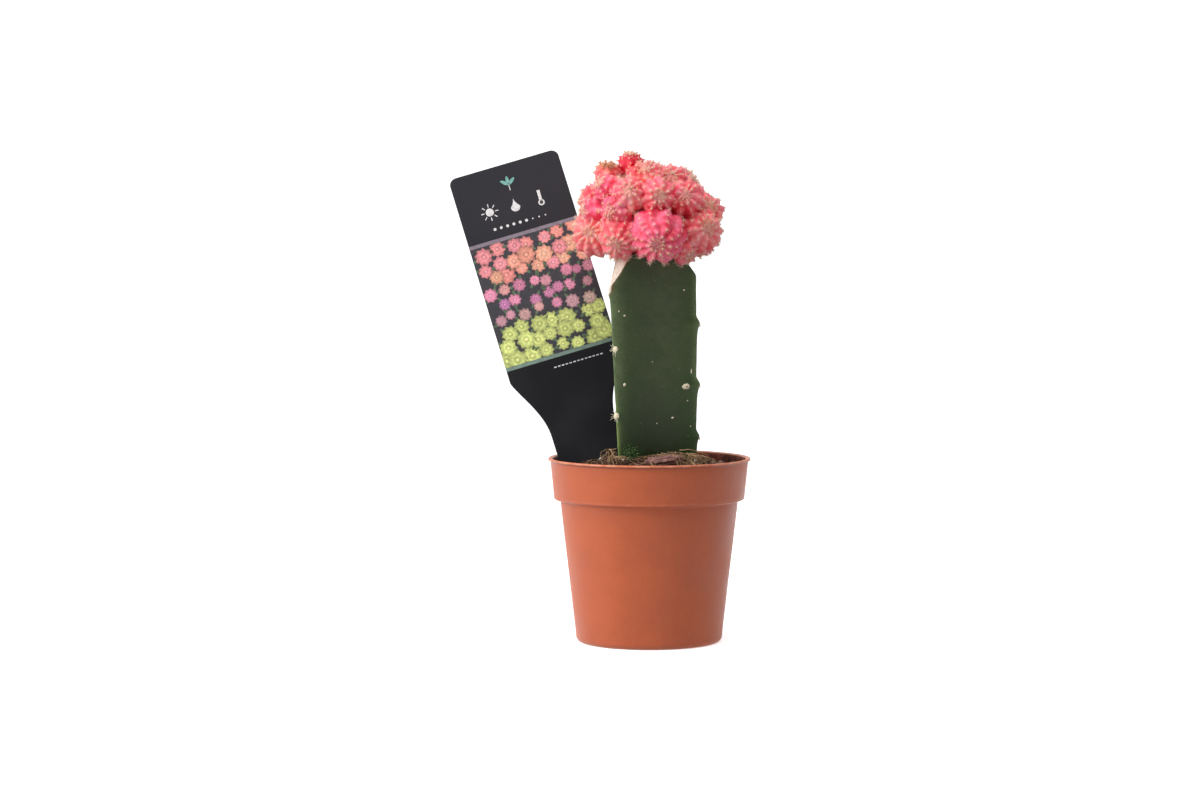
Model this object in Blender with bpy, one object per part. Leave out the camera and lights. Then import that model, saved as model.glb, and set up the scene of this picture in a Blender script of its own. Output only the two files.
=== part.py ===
"""A potted moon cactus: a coral-pink grafted scion with its offsets on a three-angled green rootstock,
planted in peat in a small terracotta-coloured plastic pot, with a plastic plant label pushed in beside it.

The origin is the centre of the pot's underside, on the surface that it stands on. +Z is up and -Y is the
front. Every size below is in millimetres; meshes are scaled to metres when they are made.
"""

import math

import bmesh
import bpy
import numpy as np
from mathutils import Vector

MM = 0.001
GAP = 0.3  # between pieces that touch
WHOLE = "potted_moon_cactus"  # the empty that every piece hangs on

# Pot: a moulded plastic pot with a deep collar and a thin flared lip
POT_HEIGHT = 58.6
POT_WALL = 1.0
LIP_RADIUS = 32.5
LIP_THICKNESS = 0.9
COLLAR_TOP_RADIUS = 31.55
COLLAR_BOTTOM_RADIUS = 30.4
COLLAR_HEIGHT = 12.3
BODY_TOP_RADIUS = 28.2
BODY_BOTTOM_RADIUS = 23.35
FOOT_RADIUS = 21.6  # outer edge of the flat ring that the pot stands on
FOOT_WIDTH = 2.8
FLOOR_LIFT = 1.6  # height of the drained part of the floor over the foot
PAD_RADIUS = 6.0  # flat pad in the middle of the underside
DRAIN_COUNT = 6
DRAIN_RADIUS = 1.9
DRAIN_CIRCLE = 12.0
DRAIN_TURN = 11.0  # degrees round from +X to the first hole
LATHE_STEPS = 48

# Soil: heaped round the stem, lower towards the wall
SOIL_AT_STEM = 58.8
SOIL_AT_WALL = 55.4

# Rootstock: a three-angled stem, as rib azimuths in degrees and the reach of each rib from the stem's axis
STEM_AXIS = (0.4, 1.5)
RIB_AZIMUTHS = (-139.5, -14.5, 104.0)
RIB_REACH = (17.2, 15.6, 15.4)
RIB_ONE_TAPER = 0.066  # loss of reach of the first rib per millimetre, down from its top
STEM_TOP = 124.0
STEM_FOOT = 36.0
FLANK_HOLLOW = 0.9  # depth of the shallow channel down each flank
RIB_SHARPNESS = 20.0
AREOLE_HEIGHTS = ((112.5, 93.7, 72.2), (101.7, 82.2, 65.5), (105.0, 85.5, 66.5))
AREOLE_SPACING = 19.5
AREOLE_SWELL = 1.3
STEM_SIDES = 42
# Each rib is trimmed at the top for the graft: height where the cut leaves the rib, and its slope off upright
RIB_TRIMS = ((111.5, 27.0), (117.4, 37.0), (118.5, 35.0))
ROOT_COUNT = 5
ROOT_RADIUS = 1.3
ROOT_SPREAD = 14.5
ROOT_END = 9.0

# Scion: the mother body, a ball on a short flat graft union
MOTHER_CENTRE = (0.0, 0.5, 136.6)
MOTHER_RADIUS = 14.4
GRAFT_FACE = STEM_TOP + GAP

# Offsets round the mother: centre and radius of each, from the front round to the back
OFFSETS = {
    "offset_front_low": (2.7, -16.4, 131.3, 8.9),
    "offset_front_centre": (2.0, -14.8, 142.8, 6.4),
    "offset_front_left": (-6.6, -14.0, 143.4, 5.8),
    "offset_front_left_mid": (-11.0, -13.4, 138.0, 5.1),
    "offset_front_left_low": (-9.8, -13.8, 131.2, 6.6),
    "offset_front_right": (11.0, -12.0, 142.0, 6.4),
    "offset_left_low": (-17.4, -6.0, 131.6, 6.9),
    "offset_left_mid": (-17.2, -7.2, 137.8, 5.2),
    "offset_left_high": (-17.8, -2.0, 142.2, 5.1),
    "offset_left_shoulder": (-13.2, -8.0, 145.4, 5.0),
    "offset_right_low": (15.3, -9.2, 131.8, 8.2),
    "offset_right_mid": (17.0, -2.6, 138.8, 6.3),
    "offset_right_high": (10.8, -2.8, 145.8, 5.2),
    "offset_right_under": (17.4, 0.8, 130.4, 5.8),
    "offset_under_left": (-11.2, -11.2, 125.8, 3.9),
    "offset_under_right": (10.6, -12.4, 126.2, 4.8),
    "offset_top_tufted": (-13.5, -2.8, 150.4, 3.9),
    "offset_top_crown": (-5.9, -3.2, 153.8, 3.6),
    "offset_top_front": (-1.4, -8.4, 147.6, 6.2),
    "offset_top_right": (6.0, -5.2, 147.2, 6.0),
    "offset_top_back": (0.8, 3.6, 146.6, 6.8),
    "offset_top_back_left": (-8.2, 3.6, 147.2, 6.2),
    "offset_top_back_right": (9.2, 5.8, 146.2, 6.2),
    "offset_back_right": (16.2, 6.6, 138.8, 6.6),
    "offset_back_right_low": (14.4, 10.4, 130.4, 7.6),
    "offset_back": (5.8, 14.6, 140.2, 7.6),
    "offset_back_low": (3.4, 16.2, 129.8, 7.6),
    "offset_back_left": (-5.2, 12.2, 142.4, 7.0),
    "offset_back_left_low": (-8.2, 14.0, 132.4, 7.2),
    "offset_left_back": (-14.6, 7.0, 141.4, 6.6),
    "offset_left_back_low": (-17.0, 6.6, 132.4, 7.0),
}
BALL_POINTS = 96  # corners of the ball that each offset is cut from

# Plant label: width, length, body below its top edge, then a curved shoulder into the stake
LABEL_WIDTH = 36.8
LABEL_LENGTH = 127.0
LABEL_THICKNESS = 0.6
LABEL_CORNER = 2.4
LABEL_BODY = 71.4
LABEL_SHOULDER = 21.0
STAKE_WIDTH = 20.6
STAKE_POINT = 25.0  # length of the tapered point
STAKE_TIP_WIDTH = 3.0
LABEL_AT_SOIL = (-18.3, 4.0, 58.6)
LABEL_BURIED = 24.9
LABEL_ROLL = 16.6  # degrees to the left
LABEL_TILT = 15.0  # degrees to the back

# Bark chip lying on the peat in front of the stem
CHIP_CENTRE = (4.6, -13.2, 59.9)
CHIP_RADII = (4.4, 2.4, 1.5)
CHIP_TURN = 12.0


def clear_scene():
    """Remove whatever the file holds, and add the empty that the pieces hang on."""
    for obj in list(bpy.data.objects):
        bpy.data.objects.remove(obj, do_unlink=True)
    bpy.context.scene.collection.objects.link(bpy.data.objects.new(WHOLE, None))


def material(name, colour, roughness):
    """A plain Principled material."""
    made = bpy.data.materials.new(name)
    made.use_nodes = True
    shader = made.node_tree.nodes["Principled BSDF"]
    shader.inputs["Base Color"].default_value = (*colour, 1.0)
    shader.inputs["Roughness"].default_value = roughness
    return made


def mesh_object(name, points, faces, look=None, smooth_degrees=35.0):
    """An object from points in millimetres and faces. Without a material it is a hidden cutter or operand."""
    mesh = bpy.data.meshes.new(name)
    mesh.from_pydata([tuple(MM * value for value in point) for point in points], [], faces)
    obj = bpy.data.objects.new(name, mesh)
    bpy.context.scene.collection.objects.link(obj)
    obj.parent = bpy.data.objects.get(WHOLE)
    if look is None:
        obj.hide_render = True
        obj.display_type = "WIRE"
    else:
        mesh.materials.append(look)
        mesh.shade_smooth()
        mesh.set_sharp_from_angle(angle=math.radians(smooth_degrees))
    return obj


def boolean(obj, other, operation):
    """Join another object to this one, or cut it away."""
    modifier = obj.modifiers.new(f"{operation.lower()}_{other.name}", "BOOLEAN")
    modifier.operation = operation
    modifier.solver = "EXACT"
    modifier.object = other


def arc(centre, radius, start, end, steps):
    """Points on an arc in the (r, z) plane, with angles in degrees."""
    angles = np.radians(np.linspace(start, end, steps + 1))
    return [(centre[0] + radius * math.cos(a), centre[1] + radius * math.sin(a)) for a in angles]


def skin(rings):
    """Faces that close a stack of rings of points, each ring the same length, with a fan at either end."""
    side = len(rings[0])
    points = [point for ring in rings for point in ring]
    faces = []
    for level in range(len(rings) - 1):
        low = level * side
        for i in range(side):
            j = (i + 1) % side
            faces.append((low + i, low + j, low + side + j, low + side + i))
    for ring, order in ((rings[0], -1), (rings[-1], 1)):
        centre = tuple(sum(point[axis] for point in ring) / side for axis in range(3))
        points.append(centre)
        first = 0 if order < 0 else (len(rings) - 1) * side
        for i in range(side):
            pair = (first + i, first + (i + 1) % side)
            faces.append((len(points) - 1, *pair[::order]))
    return points, faces


def circle(radius, height, steps, centre=(0.0, 0.0)):
    """Points evenly round a level circle."""
    turns = np.linspace(0.0, 2.0 * math.pi, steps, endpoint=False)
    return [(centre[0] + radius * math.cos(a), centre[1] + radius * math.sin(a), height) for a in turns]


def lathe(profile):
    """Turn an (r, z) profile that runs from the underside, up the outside and in. Its two ends close flat."""
    return skin([circle(radius, height, LATHE_STEPS) for radius, height in profile])


def pot_inside(clearance):
    """The (r, z) line of the pot's inner wall from under the lip to the middle of the floor, held off it."""
    step = POT_HEIGHT - COLLAR_HEIGHT
    floor = POT_WALL + clearance
    inner_foot = FOOT_RADIUS - FOOT_WIDTH
    return [
        (COLLAR_TOP_RADIUS - POT_WALL - clearance, POT_HEIGHT - 1.6),
        (COLLAR_BOTTOM_RADIUS - POT_WALL - clearance, step + 0.9 + clearance),
        (BODY_TOP_RADIUS - POT_WALL - clearance + 0.5, step - 1.0 + clearance),
        (BODY_TOP_RADIUS - POT_WALL - clearance, step - 2.2),
        (BODY_BOTTOM_RADIUS - POT_WALL - clearance, 2.6 + clearance),
        (FOOT_RADIUS - clearance, floor),
        (inner_foot - 0.4 + 2.0 * clearance, floor),
        (inner_foot - 1.8 + clearance, floor + FLOOR_LIFT),
        (PAD_RADIUS + 1.4 - clearance, floor + FLOOR_LIFT),
        (PAD_RADIUS - 2.0 * clearance, floor),
    ]


def build_pot(look):
    """Thin-walled turned pot with a bead at the lip, a stepped collar, a ring foot and drain holes."""
    step = POT_HEIGHT - COLLAR_HEIGHT
    lip_base = POT_HEIGHT - LIP_THICKNESS
    bead = LIP_THICKNESS / 2.0
    inner_foot = FOOT_RADIUS - FOOT_WIDTH
    outside = [
        (PAD_RADIUS, 0.0),
        (PAD_RADIUS + 1.2, FLOOR_LIFT),
        (inner_foot - 1.2, FLOOR_LIFT),
        (inner_foot, 0.0),
        (FOOT_RADIUS, 0.0),
        *arc((BODY_BOTTOM_RADIUS - 1.9, 2.1), 1.9, -60.0, 0.0, 3),
        (BODY_TOP_RADIUS, step - 1.9),
        *arc((COLLAR_BOTTOM_RADIUS - 1.0, step + 0.2), 1.0, -70.0, 0.0, 4),
        (COLLAR_TOP_RADIUS, lip_base - 0.3),
    ]
    lip = [
        *arc((LIP_RADIUS - bead, lip_base + bead), bead, -80.0, 90.0, 6),
        (LIP_RADIUS - 1.3, POT_HEIGHT - 0.05),
        (COLLAR_TOP_RADIUS - POT_WALL + 0.1, POT_HEIGHT - 0.5),
    ]
    pot = mesh_object("pot", *lathe(outside + lip + pot_inside(0.0)), look)
    for k in range(DRAIN_COUNT):
        angle = math.radians(DRAIN_TURN) + 2.0 * math.pi * k / DRAIN_COUNT
        centre = (DRAIN_CIRCLE * math.cos(angle), DRAIN_CIRCLE * math.sin(angle))
        hole = [circle(DRAIN_RADIUS, height, 16, centre) for height in (-1.0, FLOOR_LIFT + POT_WALL + 1.0)]
        boolean(pot, mesh_object(f"drain_hole_{k + 1}", *skin(hole)), "DIFFERENCE")


def margin_swell(rib, height):
    """How far a rib's margin stands out at a height: a step out at each areole that dies away below it."""
    swell = 0.0
    for areole in AREOLE_HEIGHTS[rib]:
        below = (areole + 1.6 - height) / AREOLE_SPACING
        if 0.0 < below < 1.0:
            rise = min(1.0, below / 0.12)
            swell = AREOLE_SWELL * (1.0 - below) * rise * rise * (3.0 - 2.0 * rise)
    return swell


def stem_ring(height, grow):
    """One level of the stem: three flats blended at the ribs, each hollowed a little along its middle."""
    reaches = []
    for rib, reach in enumerate(RIB_REACH):
        taper = RIB_ONE_TAPER * (RIB_TRIMS[0][0] - min(height, RIB_TRIMS[0][0])) if rib == 0 else 0.0
        reaches.append(reach - taper + margin_swell(rib, height))
    tips = [
        Vector((reach * math.cos(math.radians(a)), reach * math.sin(math.radians(a))))
        for reach, a in zip(reaches, RIB_AZIMUTHS)
    ]
    buried = min(1.0, max(0.0, (SOIL_AT_STEM - 3.0 - height) / (SOIL_AT_STEM - 3.0 - STEM_FOOT)))
    shrink = 1.0 - 0.55 * buried**1.5
    ring = []
    for a in np.linspace(-math.pi, math.pi, STEM_SIDES, endpoint=False):
        way = Vector((math.cos(a), math.sin(a)))
        blend, hollow = 0.0, 0.0
        for k in range(3):
            along = tips[(k + 1) % 3] - tips[k]
            normal = Vector((along.y, -along.x)).normalized()
            facing = way.dot(normal) / normal.dot(tips[k])
            if facing > 0.0:
                blend += facing**RIB_SHARPNESS
                aside = abs(math.atan2(way.cross(normal), way.dot(normal))) / math.radians(60.0)
                hollow = max(hollow, FLANK_HOLLOW * max(0.0, 1.0 - aside * aside))
        reach = (blend ** (-1.0 / RIB_SHARPNESS) - hollow) * shrink + grow
        ring.append((STEM_AXIS[0] + reach * way.x, STEM_AXIS[1] + reach * way.y, height))
    return ring


def trim_plane(rib):
    """A point on, and the outward normal of, the slanting cut that trims a rib below the graft."""
    height, slope = RIB_TRIMS[rib]
    azimuth, slope = math.radians(RIB_AZIMUTHS[rib]), math.radians(slope)
    out = Vector((math.cos(azimuth), math.sin(azimuth), 0.0))
    corner = Vector((*STEM_AXIS, height)) + out * (RIB_REACH[rib] - 0.6)
    return corner, out * math.cos(slope) + Vector((0.0, 0.0, math.sin(slope)))


def root_path(k):
    """The centre line of one root: out of the stem's foot, then down and away towards the pot's wall."""
    azimuth = math.radians(20.0 + 360.0 * k / ROOT_COUNT)
    path = []
    for t in np.linspace(0.0, 1.0, 7):
        spread = 2.0 + (ROOT_SPREAD - 2.0) * math.sin(0.5 * math.pi * t)
        bend = azimuth + 0.5 * t * t
        height = (STEM_FOOT + 4.0) * (1.0 - t) + ROOT_END * t
        path.append(
            Vector((STEM_AXIS[0] + spread * math.cos(bend), STEM_AXIS[1] + spread * math.sin(bend), height))
        )
    return path


def tube(path, radii, sides=6):
    """Rings of a tapered tube along a path."""
    rings = []
    for i, centre in enumerate(path):
        ahead = (path[min(i + 1, len(path) - 1)] - path[max(i - 1, 0)]).normalized()
        across = ahead.cross(Vector((0.0, 0.0, 1.0))).normalized()
        up = across.cross(ahead)
        turns = np.linspace(0.0, 2.0 * math.pi, sides, endpoint=False)
        rings.append([tuple(centre + radii[i] * (across * math.cos(a) - up * math.sin(a))) for a in turns])
    return rings


def root_objects(prefix, grow):
    """The roots as hidden solids, each a little larger than life by grow."""
    made = []
    for k in range(ROOT_COUNT):
        path = root_path(k)
        radii = [ROOT_RADIUS * (1.0 - 0.5 * i / (len(path) - 1)) + grow for i in range(len(path))]
        path[-1] = path[-1] + (path[-1] - path[-2]).normalized() * grow
        made.append(mesh_object(f"{prefix}_{k + 1}", *skin(tube(path, radii))))
    return made


def build_stem(name, grow, look=None):
    """The stem from its buried foot to the graft face, without its roots."""
    levels = [STEM_FOOT - grow, *np.linspace(STEM_FOOT + 2.0, STEM_TOP + grow, 28)]
    points, faces = skin([stem_ring(height, grow) for height in levels])
    stem = mesh_object(name, points, faces, look, 50.0)
    shape = bmesh.new()
    shape.from_mesh(stem.data)
    for rib in range(3):
        corner, normal = trim_plane(rib)
        geometry = shape.verts[:] + shape.edges[:] + shape.faces[:]
        cut = bmesh.ops.bisect_plane(
            shape, geom=geometry, plane_co=MM * (corner + normal * grow), plane_no=normal, clear_outer=True
        )
        edges = [item for item in cut["geom_cut"] if isinstance(item, bmesh.types.BMEdge)]
        bmesh.ops.edgeloop_fill(shape, edges=edges)
    bmesh.ops.recalc_face_normals(shape, faces=shape.faces[:])
    bmesh.ops.triangulate(shape, faces=shape.faces[:])
    shape.to_mesh(stem.data)
    shape.free()
    return stem


def build_rootstock(look):
    """The green stem with its roots, grown as one piece."""
    stem = build_stem("rootstock", 0.0, look)
    for root in root_objects("root", 0.0):
        boolean(stem, root, "UNION")


def ball(radii):
    """Corner points of a ball or an ellipsoid about the origin, wound evenly from its top to its bottom."""
    steps = np.arange(BALL_POINTS) + 0.5
    heights = 1.0 - 2.0 * steps / BALL_POINTS
    turns = steps * math.pi * (3.0 - math.sqrt(5.0))
    rounds = np.sqrt(1.0 - heights**2)
    unit = np.stack([rounds * np.cos(turns), rounds * np.sin(turns), heights], axis=1)
    return [Vector(row) for row in unit * np.array(radii)]


def clipped_hull(points, planes):
    """The convex hull of the points after each plane, a point and an outward normal, has cut it."""
    shape = bmesh.new()
    for plane in [None, *planes]:
        if plane:
            geometry = shape.verts[:] + shape.edges[:] + shape.faces[:]
            bmesh.ops.bisect_plane(
                shape, geom=geometry, dist=1e-5, plane_co=plane[0], plane_no=plane[1], clear_outer=True
            )
            points = [vert.co.copy() for vert in shape.verts]
        shape.free()
        shape = bmesh.new()
        corners = [shape.verts.new(point) for point in points]
        bmesh.ops.convex_hull(shape, input=corners)
        loose = [vert for vert in shape.verts if not vert.link_faces]
        bmesh.ops.delete(shape, geom=loose, context="VERTS")
    bmesh.ops.recalc_face_normals(shape, faces=shape.faces[:])
    if shape.calc_volume(signed=True) < 0.0:
        bmesh.ops.reverse_faces(shape, faces=shape.faces[:])
    shape.verts.index_update()
    corners = [tuple(vert.co) for vert in shape.verts]
    faces = [tuple(vert.index for vert in face.verts) for face in shape.faces]
    shape.free()
    return corners, faces


def shared_planes(name, balls):
    """The flats that press a ball against each neighbour that it meets, half the gap short of the middle."""
    centre, radius = balls[name]
    planes = []
    for other, (far, reach) in balls.items():
        apart = (far - centre).length
        if other == name or apart > radius + reach + GAP:
            continue
        along = (apart**2 + radius**2 - reach**2) / (2.0 * apart)
        way = (far - centre) / apart
        planes.append((centre + way * (along - 0.5 * GAP), way))
    return planes


def stem_clearance(centre, radius):
    """The one flat that keeps an offset off the stem: its top, or the flank that faces the offset."""
    levels = [Vector((*STEM_AXIS, STEM_TOP + GAP))]
    best = (centre.z - levels[0].z, levels[0], Vector((0.0, 0.0, 1.0)))
    tips = []
    for reach, azimuth in zip(RIB_REACH, np.radians(RIB_AZIMUTHS)):
        tips.append(Vector((*STEM_AXIS, 0.0)) + reach * Vector((math.cos(azimuth), math.sin(azimuth), 0.0)))
    for k in range(3):
        along = tips[(k + 1) % 3] - tips[k]
        normal = Vector((along.y, -along.x, 0.0)).normalized()
        point = tips[k] + normal * (AREOLE_SWELL + GAP)
        away = (centre - point).dot(normal)
        if away > best[0]:
            best = (away, point, normal)
    for rib in range(3):
        corner, normal = trim_plane(rib)
        away = (centre - corner).dot(normal)
        if away > best[0] and centre.z < STEM_TOP:
            best = (away, corner + normal * GAP, normal)
    touches = best[0] < radius and centre.z - radius < STEM_TOP + GAP
    return [(best[1], -best[2])] if touches else []


def build_head(flesh, pups):
    """The mother body and its offsets, pressed flat where they meet, so that none reaches into another."""
    balls = {"scion": (Vector(MOTHER_CENTRE), MOTHER_RADIUS)}
    balls |= {name: (Vector(row[:3]), row[3]) for name, row in OFFSETS.items()}
    graft = (Vector((0.0, 0.0, GRAFT_FACE)), Vector((0.0, 0.0, -1.0)))
    for name, (centre, radius) in balls.items():
        planes = shared_planes(name, balls)
        planes += [graft] if name == "scion" else stem_clearance(centre, radius)
        planes = [(point - centre, normal) for point, normal in planes]
        corners, faces = clipped_hull(ball((radius,) * 3), planes)
        piece = mesh_object(name, corners, faces, flesh if name == "scion" else pups, 30.0)
        piece.location = MM * centre


def label_half_width(below_top, grow):
    """Half of the label's width at a distance below its top edge."""
    half = LABEL_WIDTH / 2.0
    if below_top < LABEL_CORNER:
        return half - LABEL_CORNER + math.sqrt(LABEL_CORNER**2 - (LABEL_CORNER - below_top) ** 2) + grow
    share = min(1.0, max(0.0, (below_top - LABEL_BODY) / LABEL_SHOULDER))
    half -= (LABEL_WIDTH - STAKE_WIDTH) / 2.0 * math.sin(0.5 * math.pi * share) ** 1.2
    point = min(1.0, max(0.0, (below_top - LABEL_LENGTH + STAKE_POINT) / STAKE_POINT))
    return half - (STAKE_WIDTH - STAKE_TIP_WIDTH) / 2.0 * point**1.5 + grow


def build_label(name, grow, look=None):
    """The label as a flat sheet in its own upright plane, then leaned to the left and to the back."""
    corner = [LABEL_CORNER * (1.0 - math.cos(a)) for a in np.radians(np.linspace(0.0, 90.0, 6))]
    shoulder = list(np.linspace(LABEL_BODY, LABEL_BODY + LABEL_SHOULDER, 12))
    point = list(np.linspace(LABEL_LENGTH - STAKE_POINT, LABEL_LENGTH, 8))
    half_thickness = LABEL_THICKNESS / 2.0 + grow
    above_soil = LABEL_LENGTH - LABEL_BURIED
    rings = []
    for below in corner + shoulder + point:
        half = label_half_width(below, grow)
        height = above_soil - below
        height += grow if below == corner[0] else -grow if below == point[-1] else 0.0
        corners = ((half, half_thickness), (-half, half_thickness), (-half, -half_thickness))
        rings.append([(x, y, height) for x, y in (*corners, (half, -half_thickness))])
    label = mesh_object(name, *skin(rings[::-1]), look, 30.0)
    label.location = MM * Vector(LABEL_AT_SOIL)
    label.rotation_mode = "YXZ"
    label.rotation_euler = (-math.radians(LABEL_TILT), -math.radians(LABEL_ROLL), 0.0)
    return label


def soil_height(radius):
    """Height of the peat at a distance from the pot's axis: level round the stem, then falling away."""
    share = min(1.0, max(0.0, (radius - 8.0) / 22.0))
    return SOIL_AT_STEM - (SOIL_AT_STEM - SOIL_AT_WALL) * share * share * (3.0 - 2.0 * share)


def build_soil(look):
    """The peat that fills the pot, with room left for the stem, its roots and the label's stake."""
    wall = pot_inside(GAP)[::-1]
    rim_radius = wall[-1][0]
    wall[-1] = (rim_radius, soil_height(rim_radius))
    top = [(radius, soil_height(radius)) for radius in np.linspace(rim_radius, 3.0, 9)[1:]]
    soil = mesh_object("soil", *lathe(wall + top), look)
    boolean(soil, build_stem("stem_room", GAP), "DIFFERENCE")
    for room in root_objects("root_room", GAP):
        boolean(soil, room, "DIFFERENCE")
    boolean(soil, build_label("stake_room", GAP), "DIFFERENCE")


def build_chip(look):
    """A chip of bark, flat underneath where it lies on the peat."""
    reach = math.hypot(CHIP_CENTRE[0], CHIP_CENTRE[1]) - CHIP_RADII[1]
    seat = (Vector((0.0, 0.0, soil_height(reach) + GAP - CHIP_CENTRE[2])), Vector((0.0, 0.0, -1.0)))
    chip = mesh_object("bark_chip", *clipped_hull(ball(CHIP_RADII), [seat]), look)
    chip.location = MM * Vector(CHIP_CENTRE)
    chip.rotation_euler.z = math.radians(CHIP_TURN)


def main():
    clear_scene()
    build_pot(material("terracotta_plastic", (0.50, 0.16, 0.07), 0.55))
    build_soil(material("peat", (0.045, 0.028, 0.020), 0.95))
    build_rootstock(material("green_skin", (0.045, 0.075, 0.030), 0.50))
    scion_flesh = material("scion_flesh", (0.60, 0.08, 0.14), 0.50)
    build_head(scion_flesh, material("offset_flesh", (0.78, 0.16, 0.20), 0.50))
    build_label("plant_label", 0.0, material("label_plastic", (0.035, 0.035, 0.040), 0.45))
    build_chip(material("bark", (0.20, 0.12, 0.09), 0.90))


main()
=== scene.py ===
"""The looks of a potted moon cactus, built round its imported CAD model.

A grafted coral-pink scion with its pups sits on a three-angled green stem, in peat in a small moulded pot,
with a printed plant label beside it. Sizes are in millimetres until a mesh is made.
"""

import math

import bpy
import numpy as np
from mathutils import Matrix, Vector


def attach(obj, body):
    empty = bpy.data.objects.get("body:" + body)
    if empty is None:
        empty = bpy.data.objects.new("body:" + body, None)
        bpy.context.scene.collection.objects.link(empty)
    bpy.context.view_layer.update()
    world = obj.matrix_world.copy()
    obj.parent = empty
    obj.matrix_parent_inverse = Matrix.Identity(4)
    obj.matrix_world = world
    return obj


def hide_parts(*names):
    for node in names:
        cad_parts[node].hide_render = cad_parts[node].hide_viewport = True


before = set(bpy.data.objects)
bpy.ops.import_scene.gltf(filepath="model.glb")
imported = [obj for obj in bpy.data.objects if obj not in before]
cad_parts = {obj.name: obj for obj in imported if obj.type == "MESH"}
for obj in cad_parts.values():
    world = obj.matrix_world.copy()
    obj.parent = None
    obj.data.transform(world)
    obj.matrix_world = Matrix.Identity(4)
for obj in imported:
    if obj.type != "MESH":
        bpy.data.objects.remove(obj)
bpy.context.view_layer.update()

MM = 0.001
UP = np.array((0.0, 0.0, 1.0))
BAKE_MAP = "OFBake"
FULL_MAP, SKIN_MAP, LOW_MAP = (0.0, 1.0), (0.08, 1.0), (0.0, 0.05)  # bands of a map's height

# The pot
POT_HEIGHT, POT_WALL = 59.2, 1.0
LIP_RADIUS, LIP_THICKNESS = 32.5, 0.85
COLLAR_TOP, COLLAR_BOTTOM, COLLAR_HEIGHT = 31.75, 30.6, 12.9
BODY_TOP, BODY_BOTTOM = 28.4, 23.55
FOOT_RADIUS, FOOT_WIDTH, FLOOR_LIFT, PAD_RADIUS = 21.6, 2.8, 1.6, 6.0
DRAIN_COUNT, DRAIN_RADIUS, DRAIN_CIRCLE, DRAIN_TURN = 6, 1.9, 12.0, 11.0

# The peat
SOIL_AT_STEM, SOIL_AT_WALL = 58.8, 55.4
CRUMBS, SHREDS, FLAKES, PERLITE, MOSS, MOSS_PATCH, MOSS_CLIMBING = 900, 420, 46, 15, 170, 120, 90
FIBRES, FRONT_FIBRES = 330, 90
PERLITE_AT, MOSS_PATCH_AT = ((14.4, -12.0), (0.2, -14.6)), (-6.4, -8.2)

# The rootstock
STEM_AXIS = np.array((0.4, 1.5))
RIB_AZIMUTHS = np.radians((-139.5, -14.5, 104.0))
RIB_REACH = (17.8, 15.6, 15.4)
RIB_ONE_TAPER, RIB_SHARPNESS = 0.07, 20.0
STEM_TOP, STEM_FOOT = 124.4, 36.0
FLANK_HOLLOW = 0.9
AREOLE_HEIGHTS = ((112.5, 94.3, 73.0), (101.7, 82.2, 65.5), (105.0, 85.5, 66.5))
AREOLE_SWELLS = (0.25, 1.2, 1.2)
RIB_TRIMS = ((112.8, 27.0), (117.9, 37.0), (118.5, 35.0))
CALLUS_FOOT = 112.2
ROOT_COUNT, ROOT_RADIUS, ROOT_SPREAD, ROOT_END = 5, 1.3, 14.5, 9.0

# Small scars and corky dots on the front: across, up, half width, half height, rise and tone
SCARS = np.array(
    [
        (11.7, 82.2, 1.25, 0.95, 0.4, 0.85),
        (11.9, 82.2, 0.5, 0.38, 0.6, 0.0),
        (-8.0, 83.0, 0.5, 0.62, 0.45, 0.95),
        (11.0, 113.0, 0.34, 0.28, 0.25, 1.0),
        (-8.0, 105.0, 0.38, 0.34, 0.25, 0.9),
        (-9.8, 106.4, 0.2, 0.34, 0.2, 0.9),
        (0.9, 90.2, 0.26, 0.2, 0.2, 0.7),
        (7.4, 72.2, 0.42, 0.3, 0.28, 1.0),
        (12.2, 77.6, 0.2, 0.2, 0.2, 0.9),
        (2.4, 70.4, 0.24, 0.2, 0.2, 0.8),
        (13.4, 87.0, 0.2, 0.8, 0.25, 0.9),
        (13.2, 69.4, 0.2, 0.18, 0.2, 0.8),
    ]
)

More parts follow.
